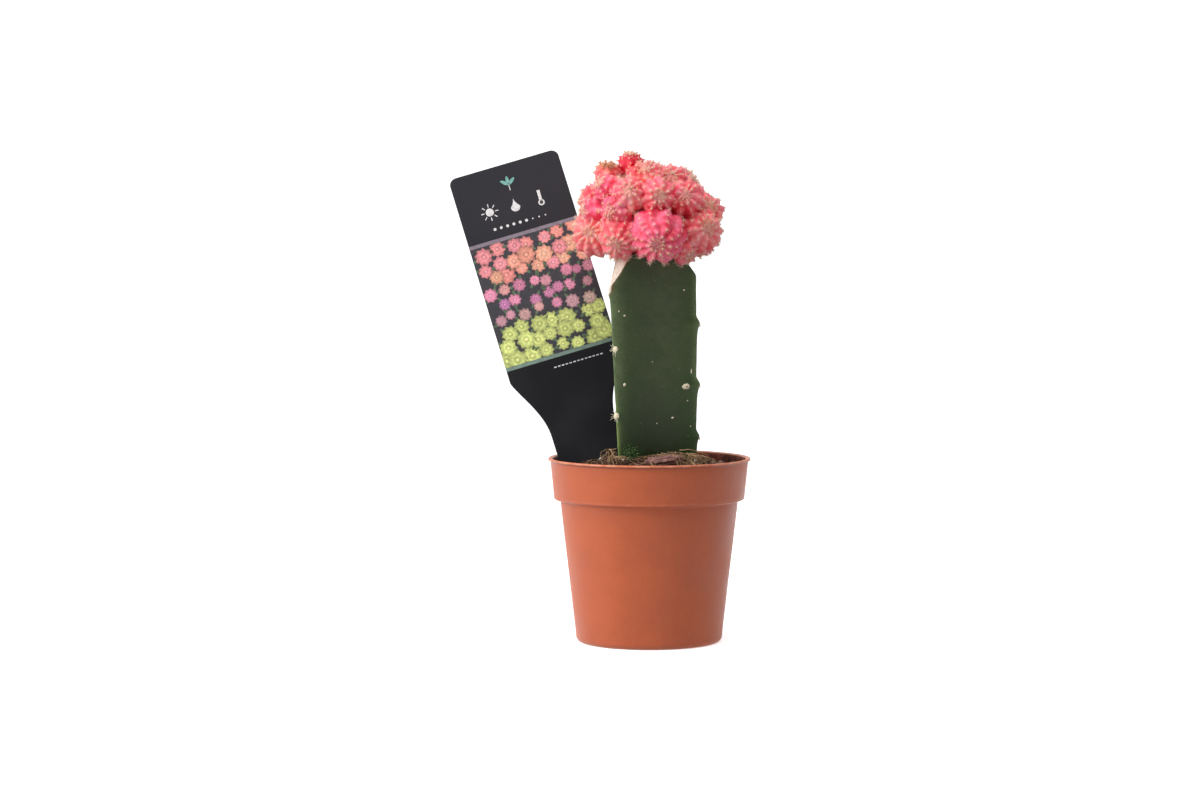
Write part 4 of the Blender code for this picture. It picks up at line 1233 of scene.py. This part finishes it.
def stem_plane(point):
    """How far a point lies outside the stem, with the normal of the plane that it lies farthest outside: the
    top, a flank or a slanting cut."""
    tips = [STEM_AXIS + reach * compass(azimuth) for reach, azimuth in zip(RIB_REACH, RIB_AZIMUTHS)]
    planes = [(point[2] - STEM_TOP, UP)]
    for rib, (level, slope) in enumerate(RIB_TRIMS):
        along = tips[(rib + 1) % 3] - tips[rib]
        flank = unit(np.array((along[1], -along[0], 0.0)))
        planes.append(((point[:2] - tips[rib]) @ flank[:2] - 0.5, flank))
        flat, rise = math.cos(math.radians(slope)), math.sin(math.radians(slope))
        cut = np.array((*(flat * compass(RIB_AZIMUTHS[rib] + TRIM_TURNS[rib])), rise))
        start = (RIB_REACH[rib] - TRIM_INSET) * math.cos(TRIM_TURNS[rib]) * flat + level * rise
        planes.append(((point - (*STEM_AXIS, 0.0)) @ cut - start, cut))
    return max(planes, key=lambda plane: plane[0])


class Body:
    """One rounded body of the scion: where it is, how it faces, the flats it shares and its ribs."""

    def __init__(self, name, seed):
        """Its axis and ribs follow from its place and radius, and where its areoles start from its seed."""
        *centre, self.radius = BALLS[name]
        self.name, self.seed, self.centre = name, seed, np.array(centre)
        away = UP if name == "mother" else self.centre - np.array(MOTHER[:3])
        self.axis = unit(np.array(AIMS.get(name, away), float))
        self.across, self.over = side_frames(self.axis)
        self.ribs = RIB_COUNTS.get(name, max(FEWEST_RIBS, round(RIBS_TO_RADIUS * self.radius)))
        self.spacing = 1.75 + 0.06 * self.radius
        self.held_in = HELD_IN if name in PUPS else 0.0
        self.lifts = np.random.default_rng(seed).uniform(0.0, 1.0, self.ribs)
        self.normals, self.offsets = self.flats()

    def flats(self):
        """The flats that press it, as normals and distances: the middle plane with each neighbour, and the
        plane of the stem that it sits against."""
        normals, offsets = [], []
        for other, (*centre, reach) in BALLS.items():
            to_other = np.array(centre) - self.centre
            apart = np.linalg.norm(to_other)
            if other != self.name and apart < self.radius + reach:
                normals.append(to_other / apart)
                offsets.append((apart**2 + self.radius**2 - reach**2) / (2.0 * apart) + PRESSED)
        away, normal = stem_plane(self.centre)
        if away < self.radius and self.centre[2] - self.radius < STEM_TOP + 0.3:
            normals.append(-normal)
            offsets.append(away + SEATED)
        return np.array(normals), np.maximum(offsets, 0.4)

    def ways(self, polar, around):
        """Unit directions at an angle off the growing axis and a turn about it."""
        flat = np.cos(around)[..., None] * self.across + np.sin(around)[..., None] * self.over
        return np.sin(polar)[..., None] * flat + np.cos(polar)[..., None] * self.axis

    def grain(self, way, size, number):
        """Grain of the body's own."""
        return grain(way, size, self.seed + number)

    def play(self, way):
        """Slow wandering of the ribs and of the steps along them."""
        return 0.5 * self.grain(way, 0.8, 50), 0.55 * self.grain(way, 0.7, 51)

    def skin(self, way):
        """The distance to the skin along each direction, with the ridge share, how nearly a flat is met, and
        the angle off the growing axis.

        The plain reach adds the inverse 36th powers of the radius, which wanders by a fourteenth, and of the
        distances to the flats. On it stand ribs, 1 − |2x|^1.7 across each, and on each rib a row of cones,
        1 less the distance from each areole, both growing from nothing at the apex and lower where another
        body presses. Fine unevenness and broader swellings are added."""
        press = np.maximum(way @ self.normals.T, 0.0) / self.offsets
        full = (self.radius - self.held_in) * (1.0 + 0.07 * self.grain(way, 0.75, 53))
        inverse = full**-PRESS_SHARPNESS + (press**PRESS_SHARPNESS).sum(-1)
        near = self.radius * press.max(-1)
        polar = np.arccos(np.clip(way @ self.axis, -1.0, 1.0))
        around = np.arctan2(way @ self.over, way @ self.across)
        rib_play, step_play = self.play(way)
        rib_turn = self.ribs * around / (2.0 * np.pi) + rib_play
        rib = np.round(rib_turn)
        across = 2.0 * (rib_turn - rib)
        step = polar * self.radius / self.spacing + step_play + self.lifts[rib.astype(int) % self.ribs]
        along = 2.0 * (step - np.round(step))
        ridge = 1.0 - np.abs(across) ** 1.7
        cone = np.maximum(0.0, 1.0 - np.sqrt(across**2 + along**2)) ** 1.15
        grown = smooth_step(0.02, 0.5, polar) * (1.0 - 0.75 * smooth_step(1.9, 2.8, polar))
        free = 1.0 - 0.6 * smooth_step(0.95, 1.12, near)
        relief = grown * free * (0.062 * self.radius * ridge + (0.62 + 0.03 * self.radius) * cone)
        relief = relief + 0.17 * self.grain(way * self.radius, 1.0, 52) - 0.035 * self.radius
        relief = relief + 0.42 * free * self.grain(way * self.radius, 2.3, 54)
        share = np.clip(0.62 * ridge + 0.55 * cone, 0.0, 1.0) * grown + 0.5 * (1.0 - grown)
        return inverse ** (-1.0 / PRESS_SHARPNESS) + relief, share, near, polar

    def areoles(self):
        """Directions of the areoles: each step on each rib, brought to where the wandering puts it."""
        steps = int(2.05 * self.radius / self.spacing) + 2
        rib, step = (a.ravel() for a in np.meshgrid(np.arange(self.ribs), np.arange(steps), indexing="ij"))
        rib_play = step_play = 0.0
        for _ in range(6):
            around = 2.0 * np.pi * (rib - rib_play) / self.ribs
            polar = (step - self.lifts[rib] - step_play) * self.spacing / self.radius
            way = self.ways(polar, around)
            rib_play, step_play = self.play(way)
        return way[(polar > AREOLE_ANGLES[0]) & (polar < AREOLE_ANGLES[1])]

    def in_the_open(self, way):
        """Those directions where the skin is neither pressed nor inside another body or the stem, with their
        places on the skin and their angles off the growing axis."""
        reach, _, near, angle = self.skin(way)
        spots = self.centre + reach[:, None] * way
        free = near < 1.02
        for other, (*centre, radius) in BALLS.items():
            if other != self.name:
                free &= np.linalg.norm(spots - np.array(centre), axis=-1) > radius - 0.15
        turn, reach = about_stem(spots)
        beside = reach < stem_reach(turn, np.minimum(spots[:, 2], STEM_TOP)) + 0.1
        free &= ~(beside & (spots[:, 2] < STEM_TOP + 0.4))
        return way[free], spots[free], angle[free]


def add_tufts(piece, body, random):
    """Wool and bristles on each areole in the open, lusher in some places than in others."""
    out, spots, angle = body.in_the_open(body.areoles())
    if not len(out):
        return
    lush = 0.95 + 0.5 * grain(spots, 4.5, 64)
    size = (1.05 - 0.4 * smooth_step(0.4, 1.2, angle)) * lush
    browner = 0.55 * (body.name == TUFTED)
    tan = browner + random.uniform(0, 0.25, len(out))
    piece.add_lumps(spots, size[:, None] * (0.3, 0.3, 0.23), HAIR, random, 0.25, facing_turns(out), tan=tan)
    scale = (0.78 + 0.04 * body.radius) * lush[:, None]
    paths = bristle_paths(spots, out, AREOLE_BRISTLES, (0.35, 1.3), (0.6 * scale, 1.7 * scale), random, 2)
    tan = browner + np.repeat(random.uniform(0, 0.3, len(out)), AREOLE_BRISTLES)
    piece.add_strands(paths, BRISTLE_RADIUS, 3, HAIR, tan=tan)


def add_crown(piece, body, random):
    """The growing tip: young areoles set close in a spiral, each turned 137.5 degrees on from the last and
    farther out as the square root of its number, with fewer bristles. The tufted pup has many tan ones."""
    number = np.arange(CROWN_AREOLES)
    off = (2.2 + 0.12 * body.radius) / body.radius * np.sqrt((number + 0.5) / CROWN_AREOLES)
    top, spots, _ = body.in_the_open(body.ways(off, number * GOLDEN_TURN))
    if not len(top):
        return
    tufted = body.name == TUFTED
    sizes = random.uniform(0.2, 0.32, (len(top), 1)) * (1.0, 1.0, 0.8)
    tan = random.uniform(0.1, 0.7 + 0.3 * tufted, len(top))
    piece.add_lumps(spots, sizes, HAIR, random, 0.25, facing_turns(top), tan=tan)
    if tufted:
        paths = bristle_paths(spots, top, TUFT_BRISTLES, (0.1, 1.3), (0.5, 1.5), random)
        piece.add_strands(paths, 0.09, 3, HAIR, tan=random.uniform(0.5, 1.0, len(paths)))
    else:
        paths = bristle_paths(spots, top, CROWN_BRISTLES, (0.15, 1.2), (0.6, 1.5), random, 2)
        piece.add_strands(paths, 0.1, 3, HAIR, tan=random.uniform(0.0, 1.0, len(paths)) ** 3 * 0.8)


def painted(places, spots):
    """How strongly round soft spots colour the head's front: a bell curve of the distance over the spot's
    size, in the plane that faces the front, the strongest of them, and none at the back."""
    strength = np.zeros(places.shape[:-1])
    for x, z, size, most in spots:
        apart = ((places[..., 0] - x) ** 2 + (places[..., 2] - z) ** 2) / size**2
        strength = np.maximum(strength, most * np.exp(-apart))
    return strength * smooth_step(-2.0, -7.0, places[..., 1])


# Places on the head's front: across, up, size and strength
# Crimson spots: partly the skin's own crimson, partly painted shade in the hollows under pups
CRIMSON_AND_SHADE_SPOTS = (
    (0.4, 138.6, 2.6, 1.0),
    (-8.3, 133.4, 2.6, 0.95),
    (-6.6, 135.6, 1.6, 0.8),
    (10.0, 139.6, 2.2, 0.8),
    (10.0, 131.1, 1.8, 0.8),
    (-4.4, 151.3, 2.6, 1.0),
    (-7.6, 153.6, 2.2, 0.7),
    (-11.8, 142.4, 2.0, 0.5),
    (12.4, 147.1, 1.7, 0.6),
    (15.5, 136.0, 1.6, 0.5),
    (20.5, 138.5, 1.8, 0.5),
)
HOT_SPOTS = (
    (-17.6, 137.6, 2.4, 0.8),
    (-14.4, 139.3, 2.2, 0.7),
    (-14.6, 146.2, 2.6, 0.5),
    (7.3, 128.7, 3.0, 0.6),
    (9.0, 144.5, 2.0, 0.4),
)
# Painted highlights on lit lobes
HIGHLIGHT_SPOTS = (
    (-5.0, 134.1, 1.7, 0.7),
    (1.8, 135.9, 1.1, 0.7),
    (-6.3, 142.4, 2.6, 0.8),
    (2.9, 142.2, 2.2, 0.9),
    (-9.8, 138.4, 1.7, 0.9),
    (7.6, 133.6, 1.4, 0.5),
    (15.2, 130.4, 2.6, 0.4),
)


def make_body(name, seed, tone, looks):
    """One body's skin on a grid of directions, finer on its outer side, with its colour shares, and its
    areoles and growing tip on it."""
    body = Body(name, seed)
    fine = MOTHER_STEP if name == "mother" else SKIN_STEP
    outer = np.arange(0.5 * fine / body.radius, OUTER_SIDE, fine / body.radius)
    polar = np.concatenate([np.linspace(3.1, 2.0, 9), outer[::-1]])
    way = body.ways(polar[:, None], full_turn(int(2.0 * np.pi * body.radius / fine)))
    reach, ridge, near, angle = body.skin(way)
    rings = body.centre + reach[..., None] * way
    # spots on the front: crimson that is partly painted shade, hot pink, and painted highlights
    rose, bright, light = (painted(rings, spots) for spots in (CRIMSON_AND_SHADE_SPOTS, HOT_SPOTS, HIGHLIGHT_SPOTS))
    rose = np.maximum(rose, 0.75 * smooth_step(0.35, 0.8, grain(rings, 6.0, 61)))
    if name == CROWN:
        rose = np.maximum(rose, smooth_step(158.5, 155.5, rings[..., 2] - 0.4 * rings[..., 0] - 2.4))
    tawny = 0.85 * smooth_step(149.6, 152.4, rings[..., 2]) * (0.6 + 0.4 * grain(rings, 0.8, 62))
    values = {
        "ridge": ridge,
        # painted shade where pups press together
        "crease": smooth_step(0.84, 1.04, near),
        "tone": np.clip(tone + 0.35 * grain(rings, 4.5, 60) + bright, 0.0, 1.0),
        # painted highlight spots, and paler round each apex
        "pale": np.maximum(light, 0.6 * bell(angle / 0.42)),
        "rose": rose,
        "tawny": tawny * (name == TUFTED),
    }
    piece = Piece()
    piece.add_rings(rings, SKIN_MAP, **values)
    random = np.random.default_rng(seed + 900)
    add_tufts(piece, body, random)
    if name == "mother":
        piece.make("scion_body", looks, ["scion"])
    else:
        add_crown(piece, body, random)
        piece.make("pup_" + name, looks, ["offset_" + name])


def make_head():
    """The mother body, then each pup."""
    looks = [flesh_look(), spine_look("cream_bristles", (255, 220, 190), (255, 194, 160), (244, 162, 120))]
    make_body("mother", MOTHER_SEED, 0.5, looks)
    for k, (name, row) in enumerate(PUPS.items()):
        make_body(name, PUP_SEED + SEED_STEP * k, row[4], looks)


# ---------------------------------------------------------------- label

LABEL_UP = np.array((-math.sin(LABEL_ROLL), *(math.cos(LABEL_ROLL) * compass(LABEL_TILT))[::-1]))
LABEL_ACROSS = np.array((math.cos(LABEL_ROLL), *(math.sin(LABEL_ROLL) * compass(LABEL_TILT))[::-1]))
LABEL_OUT = np.array((0.0, -math.cos(LABEL_TILT), math.sin(LABEL_TILT)))
FACE = LABEL_THICKNESS / 2.0 - 0.01  # where ink starts, just inside the label's front
PICTURE_TOP, PICTURE_FOOT, PICTURE_HALF = 24.9, 65.9, LABEL_WIDTH / 2.0
BLOSSOM_ROWS, BLOSSOM_COLUMNS = 9, 8
BLOSSOM_APART, ROWS_APART = 5.0, 4.6
LABEL_EDGE = 0.18  # radius of the sheet's edges
ICON_SIDE = 8.6  # how far the outer icons are from the label's middle

# Rings of petals on each blossom: share of its radius, petals and shade
PETAL_RINGS = ((1.0, 9, 0.62), (0.86, 9, 0.95), (0.6, 7, 1.2), (0.36, 6, 0.85), (0.16, 0, 1.5))


def label_half_width(below_top):
    """Half the width at a distance below the top: round corners, a sine-curved shoulder, and a point."""
    half = LABEL_WIDTH / 2.0
    corner = np.clip(LABEL_CORNER - below_top, 0.0, LABEL_CORNER)
    half = half - LABEL_CORNER + np.sqrt(LABEL_CORNER**2 - corner**2)
    share = np.clip((below_top - LABEL_BODY) / LABEL_SHOULDER, 0.0, 1.0)
    half = half - (LABEL_WIDTH - STAKE_WIDTH) / 2.0 * np.sin(0.5 * np.pi * share) ** 1.2
    point = np.clip((below_top - LABEL_LENGTH + STAKE_POINT) / STAKE_POINT, 0.0, 1.0)
    return half - (STAKE_WIDTH - STAKE_TIP_WIDTH) / 2.0 * point**1.5


def label_place(across, below_top, out):
    """A place on the label: across it, below its top edge and out in front of its middle plane."""
    across, below_top, out = np.broadcast_arrays(across, below_top, out)
    along = LABEL_LENGTH - LABEL_BURIED - below_top
    parts = across[..., None] * LABEL_ACROSS + along[..., None] * LABEL_UP + out[..., None] * LABEL_OUT
    return LABEL_AT_SOIL + parts


def add_plates(piece, centres, outlines, high, colours):
    """Thin flat plates of ink: each star-shaped outline round its centre, from the label's face out to a
    level. Centres are (across, below the top), outlines are offsets (across, upwards), anticlockwise."""
    count, corners = outlines.shape[:2]
    across, below = centres[:, :1] + outlines[..., 0], centres[:, 1:] - outlines[..., 1]
    low, high = np.full((count, 1), FACE), high[:, None]
    rings = [label_place(across, below, level) for level in (low, high)]
    ends = [label_place(centres[:, :1], centres[:, 1:], level) for level in (low, high)]
    points = np.concatenate([*rings, *ends], 1)
    each = points.shape[1]
    values = held_by_each(dict(zip(PRINT_VALUES, colours.T)), count, each)
    piece.add(points.reshape(-1, 3), *copied(*wrapped_grid(2, corners), count, each), **values)


def add_plate(piece, centre, outline, colour, level=0.05):
    """A single plate of ink on the label's face."""
    colours = np.array([ink(*colour)[:3]])
    add_plates(piece, np.array([centre], float), outline[None], np.array([FACE + level]), colours)


def ring_outline(corners, radius, petals=0, depth=0.0, phase=0.0):
    """A round outline whose radius swells and sinks as a cosine, once for each petal."""
    turn = full_turn(corners)
    swell = depth * np.cos(petals * turn + np.asarray(phase)[..., None])
    reach = np.asarray(radius)[..., None] * (1.0 + swell)
    return reach[..., None] * compass(turn)


def box_outline(half_width, half_height, turn=0.0):
    """A rectangle's corners, turned."""
    return rotated(np.array(((-1, -1), (1, -1), (1, 1), (-1, 1))) * (half_width, half_height), turn)


def print_icons(piece):
    """Plain care signs in white: a sun, a drop and a thermometer over a scale of dots, a sprig above, and a
    row of dashes below the picture."""
    white = (226, 226, 226)
    for turn in np.radians((40.0, 90.0, 140.0)):
        leaf = rotated(ring_outline(20, 1.0) * (1.5, 0.55), turn)
        add_plate(piece, (1.5 * math.cos(turn), 7.2 - 1.5 * math.sin(turn)), leaf, (120, 178, 170))
    add_plate(piece, (0.0, 8.1), box_outline(0.14, 1.0), white)
    sun = np.array((-ICON_SIDE, 14.4))
    add_plate(piece, sun, ring_outline(24, 1.35), white)
    for turn in full_turn(8):
        add_plate(piece, sun + 2.35 * compass(-turn), box_outline(0.55, 0.16, turn), white)
    drop = 1.55 * compass(full_turn(28))
    pointed = np.maximum(drop[:, 1] / 1.55, 0.0)
    drop = drop * np.stack([1.0 - pointed**1.3, np.ones(28)], -1)
    drop[:, 1] += 1.5 * pointed**3
    add_plate(piece, (0.0, 15.0), drop, white)
    add_plate(piece, (ICON_SIDE, 13.6), box_outline(0.5, 1.9), white)
    add_plate(piece, (ICON_SIDE, 16.0), ring_outline(20, 1.05), white)
    add_plate(piece, (ICON_SIDE, 16.0), ring_outline(20, 0.6), (60, 58, 64), 0.07)
    for k in range(9):
        add_plate(piece, (2.15 * k - ICON_SIDE, 20.4), ring_outline(14, 0.5 if k < 6 else 0.26), white)
    for k in range(13):
        add_plate(piece, (1.3 * k - 3.0, 70.2), box_outline(0.42, 0.2), (210, 210, 212))


def blossom_colours(random, share):
    """Colours down the picture: coral, then mauve, then lime, some of them blended with peach or pink."""
    coral, mauve, lime, peach, pink = (
        np.array(ink(*seen)[:3])
        for seen in ((236, 142, 132), (186, 116, 166), (206, 216, 128), (246, 190, 150), (240, 150, 170))
    )
    palette = np.array((coral * 1.05, coral, mauve, mauve, lime, lime))
    base = np.stack([np.interp(share, PICTURE_STOPS, palette[:, k]) for k in range(3)], -1)
    blend = np.where(random.uniform(0.0, 1.0, (len(base), 1)) < 0.5, peach, pink)
    base = base + (blend - base) * (random.uniform(0.0, 0.7, (len(base), 1)) * (share < 0.66)[:, None])
    return base * random.uniform(0.8, 1.15, (len(base), 1))


def print_picture(piece):
    """A repeating print of round many-petalled blossoms and leaves on a dark ground, in offset rows that
    change from coral through mauve to lime, cut off square at the picture's edges."""
    middle, tall = 0.5 * (PICTURE_TOP + PICTURE_FOOT), 0.5 * (PICTURE_FOOT - PICTURE_TOP)
    bands = (
        (middle, tall, (54, 52, 58)),
        (PICTURE_TOP - 0.65, 0.6, (134, 122, 134)),
        (PICTURE_FOOT + 0.65, 0.6, (118, 140, 128)),
    )
    for below, half_height, colour in bands:
        add_plate(piece, (0.0, below), box_outline(PICTURE_HALF - 0.05, half_height), colour, 0.02)
    random = np.random.default_rng(8)
    grid = np.meshgrid(np.arange(BLOSSOM_ROWS), np.arange(BLOSSOM_COLUMNS), indexing="ij")
    rows, cols = (part.ravel() for part in grid)
    across = (cols - 3.5 + 0.5 * (rows % 2) - 0.25) * BLOSSOM_APART + random.normal(0.0, 0.75, len(rows))
    below = PICTURE_TOP + 2.2 + rows * ROWS_APART + random.normal(0.0, 0.6, len(rows))
    keep = (np.abs(across) < PICTURE_HALF - 0.6) & (below < PICTURE_FOOT - 0.6)
    centres, rows, cols = np.stack([across, below], -1)[keep], rows[keep], cols[keep]
    count, share = len(centres), (centres[:, 1] - PICTURE_TOP) / (PICTURE_FOOT - PICTURE_TOP)
    base = blossom_colours(random, share)
    size = np.interp(share, PICTURE_STOPS, BLOSSOM_SIZES) * random.uniform(0.72, 1.16, count)
    phase = random.uniform(0.0, 2.0 * np.pi, count)
    for k in range(2):
        turn = phase + np.pi * k + 0.4
        leaf = rotated(np.tile(ring_outline(10, 1.0) * (1.3, 0.5), (count, 1, 1)), turn[:, None])
        spot = centres + size[:, None] * compass(-turn)
        green = np.tile(ink(86, 108, 82)[:3], (count, 1))
        add_plates(piece, *cropped(spot, leaf), np.full(count, FACE + 0.026), green)
    level = FACE + 0.02 + 0.012 * (2 * (rows % 2) + cols % 2)
    for ring, (radius, petals, shade) in enumerate(PETAL_RINGS):
        outline = ring_outline(36, size * radius, petals, 0.12, phase + 1.1 * ring)
        colours = np.clip(base * shade, 0.0, 0.92)
        add_plates(piece, *cropped(centres, outline), level + 0.003 * (ring + 1), colours)


def cropped(centres, outlines):
    """Outlines and centres held inside the picture: each corner is brought back to its edge."""
    across, below = np.moveaxis(centres[:, None] + outlines * (1.0, -1.0), -1, 0)
    inner, outer = PICTURE_HALF - 0.2, PICTURE_HALF - 0.05
    held_below = np.clip(centres[:, 1], PICTURE_TOP + 0.15, PICTURE_FOOT - 0.15)
    inside = np.stack([np.clip(centres[:, 0], -inner, inner), held_below], -1)
    x = np.clip(across, -outer, outer) - inside[:, :1]
    y = inside[:, 1:] - np.clip(below, PICTURE_TOP, PICTURE_FOOT)
    return inside, np.stack([x, y], -1)


def make_label():
    """The sheet is a stack of level slices of its outline, each with rounded edges, in its leaning plane."""
    corner = LABEL_CORNER * (1.0 - np.cos(np.radians(np.linspace(0.0, 90.0, 14))))
    shoulder = np.linspace(LABEL_BODY, LABEL_BODY + LABEL_SHOULDER, 46)
    point = np.linspace(LABEL_LENGTH - STAKE_POINT, LABEL_LENGTH, 30)
    below = np.concatenate([corner, np.linspace(6.0, LABEL_BODY - 2.0, 30), shoulder, point])[::-1, None]
    edge, t = LABEL_EDGE, np.linspace(-1.0, 1.0, 22)
    half, deep = label_half_width(below) - edge, LABEL_THICKNESS / 2.0
    bend = np.radians(np.linspace(0.0, 90.0, 5))[1:-1]
    round_x, round_y = edge * np.sin(bend), deep - edge * (1.0 - np.cos(bend))
    flank = np.linspace(deep - edge, edge - deep, len(round_x))
    front = [half * t, half + round_x, half + np.full(len(round_x), edge), half + round_x[::-1]]
    front_out = [np.full(len(t), deep), round_y, flank, -round_y[::-1]]
    across = np.concatenate([*front, *(-part for part in front)], 1)
    out = np.concatenate([*front_out, *(-part for part in front_out)])
    sheet = Piece()
    sheet.add_rings(label_place(across, below, out[None]))
    sheet.make("label_sheet", [label_look()], ["plant_label"], sharp=35.0)
    printed = Piece()
    print_icons(printed)
    print_picture(printed)
    printed.make("label_print", [print_look()], sharp=35.0)


# ---------------------------------------------------------------- stage

FLOOR_BEND, FLOOR_FRONT, FLOOR_SIDE, FLOOR_GAP = 900.0, 2600.0, 4200.0, 0.02
SURROUND = 0.43  # how bright the even light all round is
LIGHTS = {"key": ((-1.3, -0.45, 0.6), 1.0, 18.5), "top": ((-0.1, -0.35, 1.2), 0.8, 9.0)}  # metres and watts
LIT_PLACE = (0.0, 0.0, 0.08)
CAMERA_PLACE, CAMERA_DIP, LENS, FILM_WIDTH = (-0.0158, -1.010, 0.1419), 3.64, 94.7, 36.0


def make_floor():
    """A floor that rises behind the object in a broad curve: one line carried from side to side."""
    bend = FLOOR_BEND + FLOOR_BEND * compass(np.radians(np.linspace(-90.0, 0.0, 24)))
    line = np.concatenate([[(-FLOOR_FRONT, 0.0)], bend, [(2.0 * FLOOR_BEND, FLOOR_SIDE)]])
    line[:, 1] -= FLOOR_GAP
    points = np.stack([np.insert(line, 0, side, 1) for side in (-FLOOR_SIDE, FLOOR_SIDE)])
    i = np.arange(len(line) - 1)
    faces = np.stack([len(line) + i, len(line) + i + 1, i + 1, i], -1)
    mesh = bpy.data.meshes.new("pale_floor")
    mesh.from_pydata((MM * points.reshape(-1, 3)).tolist(), [], faces.tolist())
    mesh.shade_smooth()
    mesh.materials.append(floor_look())
    floor = bpy.data.objects.new("pale_floor", mesh)
    floor.visible_diffuse = False
    bpy.context.scene.collection.objects.link(floor)


def light_and_frame():
    """Even light all round, a broad soft light from the left and a softer one from above, and the camera."""
    scene = bpy.context.scene
    scene.world = bpy.data.worlds.new("studio")
    scene.world.use_nodes = True
    around = scene.world.node_tree.nodes["Background"].inputs
    around["Color"].default_value, around["Strength"].default_value = (1.0, 1.0, 1.0, 1.0), SURROUND
    for name, (place, size, watts) in LIGHTS.items():
        light = bpy.data.lights.new(name, "AREA")
        light.size, light.energy = size, watts
        holder = bpy.data.objects.new(name, light)
        holder.location = place
        holder.rotation_euler = (Vector(place) - Vector(LIT_PLACE)).to_track_quat("Z", "Y").to_euler()
        scene.collection.objects.link(holder)
    scene.view_settings.view_transform = "Standard"
    camera = bpy.data.cameras.new("camera")
    camera.lens, camera.sensor_width, camera.clip_start = LENS, FILM_WIDTH, 0.01
    holder = bpy.data.objects.new("camera", camera)
    holder.location = CAMERA_PLACE
    holder.rotation_euler = (math.radians(90.0 - CAMERA_DIP), 0.0, 0.0)
    scene.collection.objects.link(holder)
    scene.camera = holder


make_pot()
make_peat()
make_flake()
make_stem()
make_head()
make_label()
make_floor()
light_and_frame()
